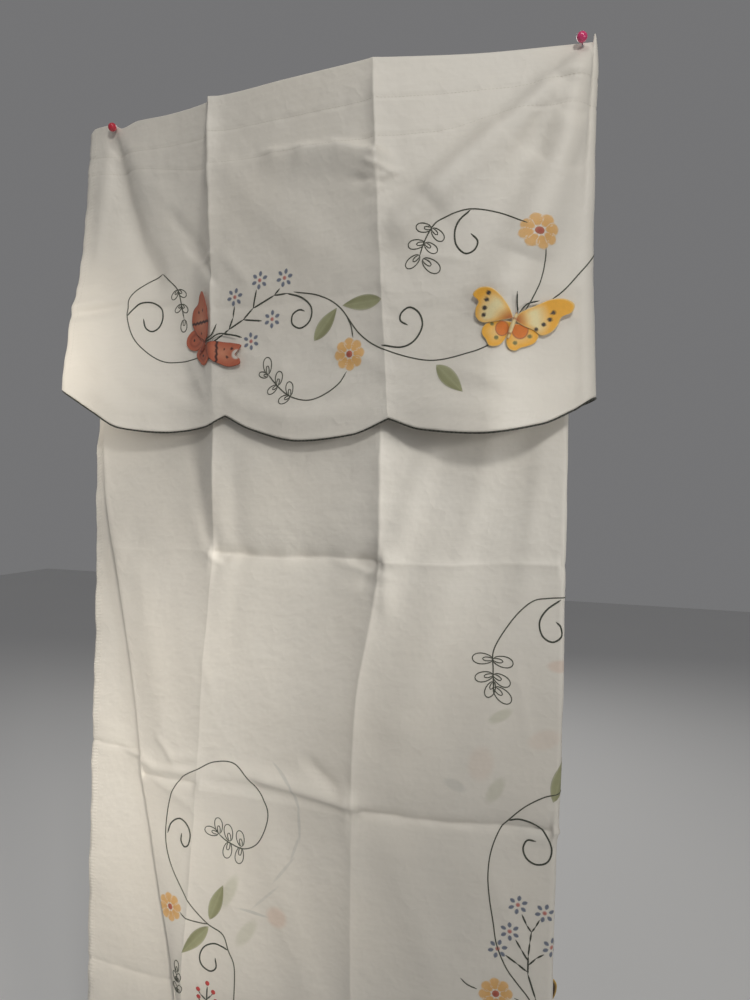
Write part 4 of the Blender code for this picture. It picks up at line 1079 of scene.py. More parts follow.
def tube(bundle, path, radius, sides):
    """Round strand along free points in space, with closed round ends."""
    path = [Vector(p) for p in path]
    count, side, way = len(path), Vector((0, 0, 1)), 0.0
    points, flat = [], []
    for k, point in enumerate(path):
        along = path[min(k + 1, count - 1)] - path[max(k - 1, 0)]
        along.normalize()
        side = (side - along * side.dot(along)).normalized() if k else along.orthogonal().normalized()
        other = along.cross(side)
        here = radius * min(1.0, min(k, count - 1 - k) * 0.5 + 0.25)
        way += (path[k] - path[k - 1]).length if k else 0.0
        for m in range(sides):
            a = 2 * math.pi * m / sides
            points.append(point + (side * math.cos(a) + other * math.sin(a)) * here)
            flat.append((way / STRAND_UNIT, m / sides))
    faces = []
    for k in range(count - 1):
        for m in range(sides):
            o = (m + 1) % sides
            faces.append((k * sides + m, k * sides + o, (k + 1) * sides + o, (k + 1) * sides + m))
    points += [path[0], path[-1]]
    flat += [(0, 0), (way / STRAND_UNIT, 0)]
    last = (count - 1) * sides
    for m in range(sides):
        o = (m + 1) % sides
        faces += [(count * sides, o, m), (count * sides + 1, last + m, last + o)]
    bundle.add(points, faces, flat)


def strand(bundle, sheet, anchors, width, height, spacing=0.0022, lift=0.0):
    """Half-oval strand that lies on a sheet along anchor points w, z."""
    flat_path = curve_through(anchors, spacing)
    spots = [sheet.place(w, z) for w, z in flat_path]
    points, flat, faces = [], [], []
    way, count = 0.0, len(spots)
    for k, (point, normal) in enumerate(spots):
        along = spots[min(k + 1, count - 1)][0] - spots[max(k - 1, 0)][0]
        side = normal.cross(along).normalized()
        way += (spots[k][0] - spots[k - 1][0]).length if k else 0.0
        near_end = min(1.0, min(k, count - 1 - k) * 0.35 + 0.3)
        for m, (aside, up) in enumerate(((-1.0, -0.3), (-0.75, 0.6), (0.0, 1.0), (0.75, 0.6), (1.0, -0.3))):
            points.append(point + side * (aside * width / 2 * near_end)
                          + normal * (up * height * near_end + lift))
            flat.append((way / STRAND_UNIT, m / 4))
    for k in range(count - 1):
        for m in range(4):
            faces.append((k * 5 + m, k * 5 + m + 1, (k + 1) * 5 + m + 1, (k + 1) * 5 + m))
    bundle.add(points, faces, flat)


# %% [markdown]
# ## Thread and cord
# Dark green cotton thread, painted darker between the stitches and lighter along each one: painted shade in
# the grooves and a painted dull sheen on the stitches, both following the stitch relief. The stitches slant
# over the strand, so the relief is a wave that runs diagonally across the strand's UV map. The cord at the
# scalloped edge is twisted, with a coarser slant.

# %% Thread materials
def thread(name, dark, light, pitch, slant, depth):
    """Slanting stitches along a strand, pitch of them in a metre, with painted shade between them and a
    painted sheen along each.
    """
    material, shader, wire = new_material(name)
    flat = own_uv(wire)
    turned = wire.node("ShaderNodeMapping", {}, {"Vector": flat, "Scale": (pitch * STRAND_UNIT, slant, 1.0)})
    stitch = wire.node("ShaderNodeTexWave", {"bands_direction": "DIAGONAL"},
                       {"Vector": turned, "Scale": 0.32, "Distortion": 0.6, "Detail": 1.0})
    body = body_place(wire)
    fuzz = noise(wire, body, 900.0, 2.0)
    # Painted shade and sheen: the colour follows the stitch wave, dark in its grooves and light on its
    # crests, with random fuzz.
    join(wire, shader, "Base Color", (stitch * 0.7 + fuzz * 0.3).mix(colour(*dark), colour(*light)))
    join(wire, shader, "Roughness", fuzz * 0.25 + 0.45)
    shader.inputs["Sheen Weight"].default_value = 0.15
    set_relief(wire, shader, stitch + fuzz * 0.3, depth, 0.8)
    return material


vine_green = thread("vine_thread", (0.038, 0.043, 0.029), (0.092, 0.098, 0.066), 620.0, 2.0, 0.0004)
curl_green = thread("curl_thread", (0.024, 0.03, 0.02), (0.068, 0.076, 0.05), 520.0, 2.0, 0.0005)
cord_green = thread("cord_twist", (0.012, 0.014, 0.009), (0.048, 0.048, 0.032), 420.0, 3.0, 0.0006)

piping = Bundle("piping")
cord_path = [VALANCE.grid[-1, j] + np.array((0, 0, -0.0012)) for j in range(VALANCE.grid.shape[1])]
tube(piping, cord_path, 0.0009, 10)
piping_piece = add_piece("piping", piping.mesh(), cord_green, ("valance_piping",))
print("cord points", len(cord_path))

# %% [markdown]
# ## Push pins
# Each pin is a glossy plastic ball on a steel needle. The left one is pushed in almost level, with its ball
# against the cloth. The right one slants down, and stands off a little. The ball is a sphere with a small
# flat where the needle goes in, and the needle is a cylinder that ends in a point.

# %% Pins
HEAD_R, NEEDLE_R, NEEDLE_TIP, NEEDLE_REACH = 0.0052, 0.0006, 0.003, 0.0165
# Entry x and z, downward slant in degrees, how far the ball stands off.
PINS = {"left": (-0.27, -0.004, 12.0, 0.0003), "right": (0.2885, -0.005, 35.0, 0.0048)}


def plastic(name, base, deep):
    """Glossy dyed plastic with a faint cloudiness and fine handling marks."""
    material, shader, wire = new_material(name)
    body = body_place(wire)
    cloud = noise(wire, body, 260.0, 3.0)
    marks = noise(wire, body, 1500.0, 3.0, 0.7)
    join(wire, shader, "Base Color", cloud.mix(colour(*deep), colour(*base)))
    join(wire, shader, "Roughness", marks * 0.14 + 0.1)
    shader.inputs["Coat Weight"].default_value = 0.6
    shader.inputs["Coat Roughness"].default_value = 0.08
    set_relief(wire, shader, marks, 0.00003, 0.3)
    return material


def steel():
    """Bright drawn steel wire with lengthwise marks."""
    material, shader, wire = new_material("needle_bright_steel")
    body = body_place(wire)
    marks = noise(wire, body, 2200.0, 3.0, 0.6)
    shader.inputs["Metallic"].default_value = 1.0
    join(wire, shader, "Base Color", marks.mix(colour(0.5, 0.5, 0.52), colour(0.72, 0.72, 0.74)))
    join(wire, shader, "Roughness", marks * 0.2 + 0.16)
    return material


def shaped(name, aim, place):
    """Applies a place and a turn to the mesh of the active primitive, and names it."""
    thing = bpy.context.object
    thing.name = name
    thing.data.name = name
    thing.data.transform(Matrix.Translation(place) @ aim)
    thing.location, thing.rotation_euler = (0, 0, 0), (0, 0, 0)
    thing.data.shade_smooth()
    return thing


def dress(thing, material, slot, node):
    """Gives a finished primitive its material, rides it and puts it in the place of its node. slot is not
    used.
    """
    thing.data.materials.clear()
    thing.data.materials.append(material)
    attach(thing, "root")
    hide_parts(node)


PIN_SLOTS = {"left": "red_plastic", "right": "pink_plastic"}
PIN_PAINT = {"left": plastic("red_ball", (0.66, 0.03, 0.06), (0.5, 0.018, 0.04)),
             "right": plastic("pink_ball", (0.74, 0.06, 0.2), (0.62, 0.035, 0.15))}
needle_steel = steel()
for side, (x, z, slant, stand_off) in PINS.items():
    box_low, box_high = (Vector(corner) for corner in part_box(f"pin_{side}_head"))
    ball_at = (box_low + box_high) / 2
    tilt = math.radians(slant)
    along = Vector((0, math.cos(tilt), -math.sin(tilt)))
    aim = along.to_track_quat("Z", "Y").to_matrix().to_4x4()
    entry = ball_at + along * (HEAD_R + stand_off)
    bpy.ops.object.select_all(action="DESELECT")
    bpy.ops.mesh.primitive_uv_sphere_add(segments=40, ring_count=24, radius=HEAD_R)
    ball = bpy.context.object
    for vertex in ball.data.vertices:
        vertex.co.z = min(vertex.co.z, HEAD_R * 0.975)
    dress(shaped(f"pin_{side}_ball", aim, ball_at), PIN_PAINT[side], PIN_SLOTS[side], f"pin_{side}_head")

    start = 0.0003 - stand_off
    straight = NEEDLE_REACH - NEEDLE_TIP - start
    bpy.ops.object.select_all(action="DESELECT")
    bpy.ops.mesh.primitive_cylinder_add(vertices=20, radius=NEEDLE_R, depth=straight,
                                        end_fill_type="TRIFAN", location=(0, 0, 0))
    wire_ = bpy.context.object
    for vertex in wire_.data.vertices:
        if vertex.co.z > 0 and math.hypot(vertex.co.x, vertex.co.y) < 1e-5:
            vertex.co.z += NEEDLE_TIP
    middle = entry + along * (start + straight / 2)
    dress(shaped(f"pin_{side}_wire", aim, middle), needle_steel, "needle_steel", f"pin_{side}_needle")
    print(side, "ball at", [round(v, 4) for v in ball_at])

# %% [markdown]
# ## Butterflies
# Three butterflies are cut from printed cloth and sewn on by their bodies, so their wings stand a little
# off. Each wing is a thin two-sided patch: its outline is a smooth curve through a few anchor points, filled
# with rings around a middle. A painting function gives the colour at each point: a pale cut edge, a lighter
# middle, bands and spots. The body is a stuffed ridge, and two threads are the feelers.

# %% Butterfly patches
BUTTERFLY_T, WING_SPAN = 0.0007, 0.055
PATCH_RINGS, EDGE_SPACING = 14, 0.0011
BODY_STEPS, BODY_SIDES = 14, 9


def printed_cloth(name, roughness=0.62):
    """Printed cotton: the colour comes from the piece's own paint, with weave and a little unevenness."""
    material, shader, wire = new_material(name)
    paint = wire.node("ShaderNodeAttribute", {"attribute_name": "paint"}, {})
    body = body_place(wire)
    grain = noise(wire, body, 700.0, 3.0, 0.6)
    patch = noise(wire, body, 120.0, 3.0)
    shade = patch * 0.22 + grain * 0.16 + 0.8
    worn = wire.node("ShaderNodeMix", {"data_type": "RGBA", "blend_type": "MULTIPLY"},
                     {0: 1.0, 6: paint, 7: shade}, out=2)
    join(wire, shader, "Base Color", worn)
    join(wire, shader, "Roughness", grain * 0.2 + roughness - 0.1)
    shader.inputs["Sheen Weight"].default_value = 0.12
    set_relief(wire, shader, grain + patch * 0.5, 0.00025, 0.6)
    return material


def mixed(first, second, share):
    share = min(max(share, 0.0), 1.0)
    return tuple(a + (b - a) * share for a, b in zip(first, second))


def cut_patch(bundle, place, outline, paint, middle):
    """Two-sided patch inside an outline of x, z in millimetres, painted by paint(x, z, t).

    t is 0 at the middle and 1 at the edge.
    """
    edge = curve_through([(x / 1000, z / 1000) for x, z in outline + outline[:1]], EDGE_SPACING)[:-1]
    centre = np.array(middle) / 1000
    count, fronts, paints = len(edge), [], []
    for ring in range(PATCH_RINGS + 1):
        t = ring / PATCH_RINGS
        for x, z in (centre + (edge - centre) * t if ring else [centre]):
            fronts.append(place(x, z))
            paints.append((*paint(x * 1000, z * 1000, t), 1.0))
    points = [p + n * BUTTERFLY_T / 2 for p, n in fronts] + [p - n * BUTTERFLY_T / 2 for p, n in fronts]
    size, faces = len(fronts), []
    for k in range(count):
        n = (k + 1) % count
        faces += [(0, 1 + k, 1 + n), (size, size + 1 + n, size + 1 + k)]
        for ring in range(PATCH_RINGS - 1):
            a, b = 1 + ring * count, 1 + (ring + 1) * count
            faces.append((a + k, b + k, b + n, a + n))
            faces.append((size + a + k, size + a + n, size + b + n, size + b + k))
        last = 1 + (PATCH_RINGS - 1) * count
        faces.append((last + k, size + last + k, size + last + n, last + n))
    bundle.add(points, turned_out(points, faces, fronts[0][1]), None, paints + paints)


def turned_out(points, faces, normal):
    """Turns all faces round where the outline runs the other way."""
    a, b, c = (points[k] for k in faces[0])
    return faces if (b - a).cross(c - a).dot(normal) > 0 else [face[::-1] for face in faces]


def ridge(bundle, place, start, end, width, height, paint, bands):
    """A stuffed body from start to end, widest in the middle."""
    points, paints, faces = [], [], []
    start, end = Vector(start), Vector(end)
    way = end - start
    aside = Vector((-way.y, way.x)).normalized()
    for k in range(BODY_STEPS + 1):
        t = k / BODY_STEPS
        swell = max(0.12, math.sin(math.pi * (0.06 + 0.88 * t)) ** 0.6)
        for m in range(BODY_SIDES):
            a = math.pi * m / (BODY_SIDES - 1)
            spot = start + way * t + aside * (-math.cos(a) * width / 2 * swell)
            point, normal = place(spot.x, spot.y)
            points.append(point + normal * (math.sin(a) * height * swell + 0.0002))
            dark = bands if abs(math.sin(t * math.pi * 5)) < 0.28 else paint
            paints.append((*dark, 1.0))
    for k in range(BODY_STEPS):
        for m in range(BODY_SIDES - 1):
            c = k * BODY_SIDES + m
            faces.append((c, c + 1, c + BODY_SIDES + 1, c + BODY_SIDES))
    bundle.add(points, faces, None, paints)


def on_sheet(sheet, w0, z0, lift, tip_lift):
    """Places a patch over a sheet around w0, z0. The cloth further from the body stands further off."""
    def place(x, z):
        point, normal = sheet.place(w0 + x, z0 + z)
        return point + normal * (lift + tip_lift * min(1.0, math.hypot(x, z) / WING_SPAN) ** 2), normal

    return place


def near(x, z, spots):
    """1 inside a spot of x, z, radius, falling softly to 0 at its rim."""
    return max(min(1.0, 3 * (1 - math.hypot(x - sx, z - sz) / size)) for sx, sz, size in spots)


CREAM, INK, OLIVE_INK = (0.84, 0.72, 0.4), (0.045, 0.04, 0.035), (0.2, 0.19, 0.07)
YELLOW, ORANGE, BROWN_RED = (0.86, 0.43, 0.045), (0.72, 0.2, 0.03), (0.4, 0.1, 0.045)
print("butterfly helpers ready")

# %% The three butterflies
YELLOW_SPOTS = ((-19, 32, 2.6), (-21, 25.5, 2.6), (-23, 18, 2.6), (37, 15, 2.7), (34, 8, 2.6),
                (28.5, 3, 2.5), (22, -2, 2.3))
OLIVE_SPOTS = ((-24, 11.5, 2.4), (-17, 2.5, 2.2), (-13, -11, 2.4), (4, -16, 2.4), (17, -9, 2.4))
HEARTS = ((-8, -2, 6.0, 7.5), (8, -3, 7.5, 9.0))


def yellow_upper(x, z, t):
    """Orange-yellow towards the tip and rim, creamy in the middle, brown-red beside the body."""
    away = math.hypot(x, z - 4)
    tone = mixed(CREAM, YELLOW, abs(away - 21) / 13 - 0.15)
    tone = mixed(tone, YELLOW, (t - 0.62) * 2.2)
    tone = mixed(tone, BROWN_RED, 1.35 - away / 11)
    tone = mixed(tone, (0.86, 0.66, 0.32), (t - 0.95) / 0.05)
    return mixed(tone, INK, near(x, z, YELLOW_SPOTS + OLIVE_SPOTS[:1]))


def yellow_lower(x, z, t):
    """Yellow with a dark-rimmed orange heart beside the body and olive spots."""
    tone = mixed(YELLOW, CREAM, 0.5 - t * 0.6)
    heart = max(1 - math.hypot((x - hx) / wide, (z - hz) / high) for hx, hz, wide, high in HEARTS)
    tone = mixed(tone, ORANGE, heart * 6)
    tone = mixed(tone, BROWN_RED, 1.1 - abs(heart - 0.05) * 9)
    tone = mixed(tone, (0.86, 0.66, 0.32), (t - 0.95) / 0.05)
    return mixed(tone, OLIVE_INK, near(x, z, OLIVE_SPOTS[1:]))


yellow = Bundle("butterfly_yellow_cloth")
at = on_sheet(VALANCE, 0.2272, -0.282, 0.0014, 0.003)
cut_patch(yellow, at, [(1, 3), (12, 2), (20, 0), (25, -7), (22, -15), (15, -19), (9, -21), (4, -24),
                       (-2, -21), (-4, -12)], yellow_lower, (8, -10))
cut_patch(yellow, at, [(1, 4), (-9, 6), (-18, 5), (-25, 0), (-26, -7), (-22, -13), (-19, -19), (-11, -19),
                       (-5, -12)],
          yellow_lower, (-13, -6))
at = on_sheet(VALANCE, 0.2272, -0.282, 0.0024, 0.0034)
cut_patch(yellow, at, [(2, 6), (6, 13), (20, 21), (34, 28), (47, 29), (56, 24), (54, 16), (45, 11), (41, 2),
                       (35, -5), (27, -8), (20, -3), (10, 1)], yellow_upper, (24, 9))
cut_patch(yellow, at, [(1, 8), (-3, 18), (-9, 29), (-17, 37), (-28, 38), (-35, 32), (-29, 25), (-32, 18),
                       (-32, 10), (-26, 4), (-14, 5)], yellow_upper, (-17, 17))
at = on_sheet(VALANCE, 0.2272, -0.282, 0.0034, 0.0)
ridge(yellow, at, (-0.003, -0.013), (0.0032, 0.013), 0.0036, 0.0022,
      (0.8, 0.64, 0.34), (0.46, 0.2, 0.08))
yellow_piece = add_piece("butterfly_yellow_cloth", yellow.mesh(), printed_cloth("yellow_print"),
                         ("butterfly_yellow",))

rust = Bundle("butterfly_rust_cloth")
RUST, RUST_DARK, RUST_LIGHT = (0.5, 0.135, 0.072), (0.06, 0.024, 0.022), (0.64, 0.27, 0.16)
PALE_CLOTH = (0.72, 0.66, 0.58)


def zigzag(value, at_, half, along):
    """Strength of a dark zigzag band where value is near at_, running along the other way."""
    bend = 1.4 * abs((along / 3.2) % 2 - 1) - 0.7
    return 3 * (1 - abs(value - at_ - bend) / half)


def rust_tall(x, z, t):
    tone = mixed(RUST_LIGHT, RUST, t * 1.2)
    tone = mixed(tone, (0.3, 0.075, 0.045), (t - 0.93) / 0.07)
    tone = mixed(tone, RUST_DARK, zigzag(z, 25.5, 1.9, x))
    return mixed(tone, RUST_DARK, near(x, z, ((-9, 38, 1.9), (-1, 39, 1.7), (-4, 13, 1.5))))


def rust_side(x, z, t):
    tone = mixed(RUST_LIGHT, RUST, t * 1.2)
    tone = mixed(tone, PALE_CLOTH, 4 - math.hypot(x - 45, (z + 14.5) * 1.1) / 1.6)
    tone = mixed(tone, (0.3, 0.075, 0.045), (t - 0.93) / 0.07)
    tone = mixed(tone, RUST_DARK, zigzag(x, 18.5, 1.9, z))
    return mixed(tone, RUST_DARK, near(x, z, ((39, -8, 2.0), (33, -17, 2.0), (29, -8, 1.3))))


def rust_lobe(x, z, t):
    """Round lobe with a darker ring and middle."""
    tone = mixed((0.34, 0.085, 0.05), RUST, abs(t - 0.55) * 5)
    return mixed(tone, RUST_DARK, near(x, z, ((-1, -13, 1.9), (-19, 7, 2.0))))


at = on_sheet(VALANCE, -0.123, -0.28, 0.0014, 0.0016)
cut_patch(rust, at, [(3, 3), (-5, 13), (-14, 19), (-24, 18), (-31, 11), (-31, 2), (-24, -4), (-12, -5)],
          rust_lobe, (-17, 6))
cut_patch(rust, at, [(5, 0), (10, -9), (7, -18), (0, -24), (-8, -19), (-14, -11), (-9, -4)],
          rust_lobe, (-1, -11))
at = on_sheet(VALANCE, -0.123, -0.28, 0.0023, 0.002)
cut_patch(rust, at, [(3, 3), (-8, 9), (-17, 17), (-23, 28), (-20, 41), (-10, 48), (-6, 57), (-2, 61),
                     (3, 55), (7, 42), (9, 26), (8, 10)], rust_tall, (-5, 27))
cut_patch(rust, at, [(6, 1), (16, 2), (28, 0), (40, -2), (51, -5), (47, -11), (44, -15), (50, -20),
                     (49, -26), (35, -28), (22, -24), (12, -19), (7, -9)], rust_side, (26, -12))
at = on_sheet(VALANCE, -0.123, -0.28, 0.003, 0.0)
ridge(rust, at, (-0.005, -0.011), (0.007, 0.006), 0.0042, 0.0018,
      (0.34, 0.09, 0.055), (0.14, 0.035, 0.03))
rust_piece = add_piece("butterfly_rust_cloth", rust.mesh(), printed_cloth("rust_print"),
                       ("butterfly_rust",))


def rear(x, z):
    """Behind the rear half of the panel, near the turn."""
    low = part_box("butterfly_brown")[0]
    return Vector((0.238 + x, low[1] + 0.0006 + 0.4 * (x * x + z * z), -0.99 + z)), Vector((0, 1, 0))


def brown_wing(x, z, t):
    """Dark brown cloth with a gold rim and gold spots."""
    tone = mixed(BROWN, BROWN_DARK, t * 1.3 - 0.3)
    tone = mixed(tone, GOLD, (t - 0.9) / 0.06)
    return mixed(tone, GOLD, near(x, z, ((27, 20, 2.2), (31, 13, 2.0), (20, 24, 1.8), (-25, 20, 2.1),
                                         (-29, 13, 1.9), (17, -15, 1.9), (-16, -14, 1.8))))


brown = Bundle("butterfly_brown_cloth")
GOLD, BROWN, BROWN_DARK = (0.62, 0.4, 0.1), (0.115, 0.06, 0.032), (0.045, 0.026, 0.018)
BROWN_UPPER = ((1, 4), (10, 18), (22, 30), (33, 33), (39, 26), (36, 12), (26, 3), (12, -1))
BROWN_LOWER = ((1, 2), (12, 1), (24, -3), (27, -12), (20, -22), (10, -25), (4, -16))
for side in (1, -0.92):
    for outline, middle in ((BROWN_UPPER, (22, 15)), (BROWN_LOWER, (13, -10))):
        cut_patch(brown, rear, [(x * side, z) for x, z in outline], brown_wing,
                  (middle[0] * side, middle[1]))
brown_piece = add_piece("butterfly_brown_cloth", brown.mesh(), printed_cloth("brown_print"),
                        ("butterfly_brown",))
feelers = Bundle("butterfly_feelers")
for w0, z0, rows in ((0.2272, -0.282, (((4, 12), (3, 22), (3, 33)), ((5, 13), (12, 22), (23, 26)))),
                     (-0.123, -0.28, (((6, 2), (12, 9), (18, 21)), ((7, 1), (22, 10), (44, 6))))):
    for row in rows:
        path = [(w0 + x / 1000, z0 + z / 1000) for x, z in row]
        strand(feelers, VALANCE, path, 0.0015, 0.0009, lift=0.004)
feeler_piece = add_piece("butterfly_feelers", feelers.mesh(), curl_green)
print("butterflies:", len(yellow.faces) + len(rust.faces) + len(brown.faces), "faces")

# %% [markdown]
# ## The embroidered pattern
# Vines, curls and twigs are stem stitch. The little leaves of a sprig are an outline with a smaller loop
# inside. The flowers and the large leaves are printed on the cloth. The pattern repeats, so each group of
# motifs is written once, as places on the flat cloth, and is laid again further along: on the rear half
# it is the same pattern, moved by one repeat.

# %% Motif tables
# Places are w and z in millimetres, along the cloth and down it. Vines are thin, curls and twigs thick.
VALANCE_MOTIFS = {
    "vines": (
        ((-124, -291), (-160, -297), (-190, -294), (-222, -271), (-236, -243), (-236, -218), (-216, -200),
         (-194, -189)),
        ((-194, -189), (-182, -199), (-170, -211), (-165, -228), (-161, -246)),
        ((-10, -229), (22, -236), (47, -251), (71, -281), (100, -299), (148, -312), (190, -306),
         (212, -298)),
        ((55, -261), (60, -271), (62.5, -284)),
        ((56, -319), (47, -332), (29, -343), (10, -348), (-11, -343), (-27, -331), (-39, -318)),
        ((241, -182), (214, -167), (184, -162), (157, -170), (147, -178), (139, -193), (135, -206)),
        ((254.5, -203), (255.5, -218), (252, -236), (245, -254), (239, -266)),
        ((264, -253), (276, -242), (292, -223), (310, -205), (338, -192), (376, -189)),
    ),
    "thick": (
        ((-237, -239), (-229, -229), (-219, -223.5), (-204, -224), (-193, -231), (-189, -242), (-193, -254),
         (-202, -259), (-211, -254), (-214.5, -243)),
        ((-18, -230), (0, -236), (12, -248), (10, -262), (-1, -269), (-11, -264), (-11, -254), (-3, -249),
         (4, -251)),
        ((96, -294), (117, -297), (131, -291), (139, -277), (136, -264), (126, -257), (117, -262),
         (116, -270), (124, -275)),
        ((185, -163), (174, -173), (170, -184), (172, -197), (181, -206), (190, -203), (193, -194),
         (186, -186)),
    ),
    # Twigs are straight from point to point.
    "twigs": (
        ((-118, -284), (-98, -270), (-91, -265), (-73, -255), (-61, -243), (-34, -231), (-18, -230)),
        ((-91, -265), (-86, -252), (-85, -239)),
        ((-61, -243), (-56, -223)),
        ((-34, -231), (-27, -224)),
        ((-73, -255), (-49, -258)),
        ((-98, -270), (-86, -271), (-74, -275)),
    ),
    # Sprig leaves: base w, z, direction in degrees, length.
    "sprigs": ((-170, -211, 235, 13), (-170, -211, 325, 14), (-165, -228, 230, 12), (-165, -228, 310, 13),
               (-161, -246, 268, 15), (-11, -343, 95, 16), (-11, -343, 205, 15), (-27, -331, 78, 16),
               (-27, -331, 215, 14), (-39, -318, 95, 19), (-39, -320, 165, 12), (147, -179, 174, 16),
               (147, -179, 313, 17), (140, -193, 186, 17), (140, -193, 321, 16), (135, -205, 219, 18),
               (138, -209, 322, 22)),
    # Printed leaves: base w, z, tip w, z.
    "leaves": ((16, -284, 43, -251), (96, -247, 50, -249), (155, -317, 183, -345)),
    # Flowers: centre w, z, turn in degrees.
    "orange": ((59, -301, 4), (249, -189, 12)),
    "blue": ((-84, -229, 0), (-52, -213, 8), (-21, -213, 0), (-36, -257, 14), (-62, -280, 22)),
    "berries": (),
}
PANEL_LEFT = {
    "vines": (
        ((-109, -850), (-96, -858), (-76, -863), (-56, -851), (-43, -820), (-48, -799), (-64, -781),
         (-88, -763), (-114, -765), (-135, -776), (-161, -792), (-178, -819), (-185, -850), (-185, -881),
         (-175, -907), (-153, -940), (-127, -962), (-105, -971), (-97, -989), (-89, -1008), (-90, -1047),
         (-96, -1085), (-112, -1120), (-138, -1150), (-170, -1180)),
        ((-165, -957), (-157, -962), (-143, -964), (-124.5, -963.5)),
        ((-197, -955), (-206, -957), (-214, -961)),
        ((-170, -1180), (-183, -1205), (-184, -1232), (-170, -1252), (-146, -1262), (-120, -1262),
         (-100, -1252)),
    ),
    "thick": (
        ((-183, -864), (-177, -850), (-164, -842), (-153, -847), (-148, -858), (-151, -871), (-157, -875),
         (-162, -869), (-161, -859)),
        ((-97, -989), (-106, -986), (-117, -985), (-130, -992), (-136, -1004), (-133, -1015), (-122, -1020),
         (-114, -1014), (-115, -1002)),
        ((-155, -1257), (-160, -1240), (-152, -1226), (-138, -1224), (-131, -1234), (-136, -1244),
         (-145, -1242)),
    ),
    "twigs": (
        ((-128, -1110), (-129, -1085), (-128, -1062), (-126, -1040)),
        ((-129, -1075), (-136, -1066), (-139, -1057)),
        ((-128, -1070), (-120, -1063), (-116, -1057)),
        ((-128, -1058), (-136, -1052), (-139, -1047)),
        ((-127, -1056), (-121, -1050), (-118, -1046)),
    ),
    "sprigs": ((-79, -861, 98, 19), (-80, -862, 260, 20), (-94, -857, 100, 20), (-95, -858, 258, 20),
               (-108, -850, 95, 19), (-109, -850, 174, 19), (-170, -1060, 120, 13), (-170, -1060, 60, 13),
               (-170, -1046, 115, 13), (-170, -1046, 65, 13), (-170, -1034, 90, 15), (-104, -1254, 60, 14),
               (-104, -1254, 320, 14), (-92, -1248, 75, 14), (-92, -1248, 345, 15)),
    "leaves": ((-122.5, -957, -103, -911), (-124, -966, -161, -1006), (-150, -1165, -120, -1195),
               (-178, -1218, -205, -1245)),
    "orange": ((-180, -955, 10), (-102, -1200, 0)),
    "blue": (),
    "berries": ((-126, -1036), (-139, -1046), (-118, -1045), (-139, -1056), (-115, -1056)),
}
PANEL_RIGHT = {
    "vines": (
        ((330, -585), (312, -562), (296, -553), (281, -552), (263, -553), (247, -557), (229, -575),
         (210, -607), (209, -630), (210, -655)),
        ((310, -740), (292, -749), (277, -755), (262, -760), (243, -772), (226, -789), (216, -803),
         (209, -824), (207, -846), (209, -870), (213, -895), (217, -920), (227, -944), (239, -960),
         (252, -976), (266, -1006), (281, -1040), (285, -1080), (272, -1120), (246, -1150)),
        ((235.5, -975), (246, -979)),
        ((197.5, -970), (187, -966), (180, -960)),
    ),
    "thick": (
        ((276, -554), (262, -565), (255, -578), (258, -592), (268, -598), (277, -592), (276, -582),
         (271, -577)),
        ((226, -789), (238, -786), (253, -790), (265, -800), (271, -814), (267, -827), (256, -831),
         (246, -826), (242, -816), (246, -807), (255, -807)),
    ),
    "twigs": (
        ((262, -990), (257, -972), (249, -948), (249, -928), (250.5, -914), (252, -903)),
        ((252, -903), (247, -896), (242, -885)),
        ((252, -903), (256, -897), (260, -889)),
        ((249, -933), (242, -922), (236, -912)),
        ((248, -945), (238, -938), (226, -930)),
        ((249, -938), (257, -930), (265, -925)),
    ),
    "sprigs": ((208.5, -619, 178, 21), (208.5, -619, 349, 21), (209, -635, 195, 19), (209, -635, 329, 20),
               (210, -642, 247, 18), (210, -648, 318, 23), (250, -1148, 205, 15), (250, -1148, 300, 15),
               (240, -1155, 245, 15)),
    "leaves": ((271.5, -764, 286, -716), (283, -1060, 262, -1100)),
    "orange": ((216.5, -973, 6),),
    "blue": ((238, -875, 6), (265, -881, 0), (230, -904, 18), (273, -917, 10), (218, -924, 0)),
    "berries": (),
}
# Group, its sheet, and how far it is moved along the cloth and up.
LAID = ((VALANCE_MOTIFS, VALANCE, 0.0, 0.0), (VALANCE_MOTIFS, VALANCE, 0.57, 0.0),
        (PANEL_LEFT, PANEL, 0.0, 0.0), (PANEL_RIGHT, PANEL, 0.0, 0.0), (PANEL_LEFT, PANEL, 0.75, 0.02))
print("motif groups laid:", len(LAID))

# %% Drawing the motifs
PETAL_LIFT = 0.00028
PAPER = (0.8, 0.76, 0.68)
ORANGE_IN, ORANGE_OUT = (0.72, 0.4, 0.13), (0.76, 0.47, 0.2)
GREY_BLUE, BLUE_PALE, FLOWER_RED = (0.135, 0.155, 0.205), (0.25, 0.28, 0.34), (0.4, 0.085, 0.055)
OLIVE_DARK, OLIVE_PALE = (0.24, 0.245, 0.12), (0.4, 0.4, 0.24)


def patch(bundle, sheet, w, z, angle, start, length, width, shape, paint, along=7, across=6):
    """Printed patch. shape gives the half-width at t, paint the colour at t and s."""
    a = math.radians(angle)
    points, paints = [], []
    for i in range(along + 1):
        t = i / along
        reach, half = start + length * t, width / 2 * shape(t)
        for j in range(across + 1):
            s = -1 + 2 * j / across
            point, _ = sheet.place(w + math.cos(a) * reach - math.sin(a) * half * s,
                                   z + math.sin(a) * reach + math.cos(a) * half * s, PETAL_LIFT)
            points.append(point)
            paints.append((*paint(t, s), 1.0))
    row = across + 1
    faces = [(i * row + j, (i + 1) * row + j, (i + 1) * row + j + 1, i * row + j + 1)
             for i in range(along) for j in range(across)]
    bundle.add(points, faces, None, paints)


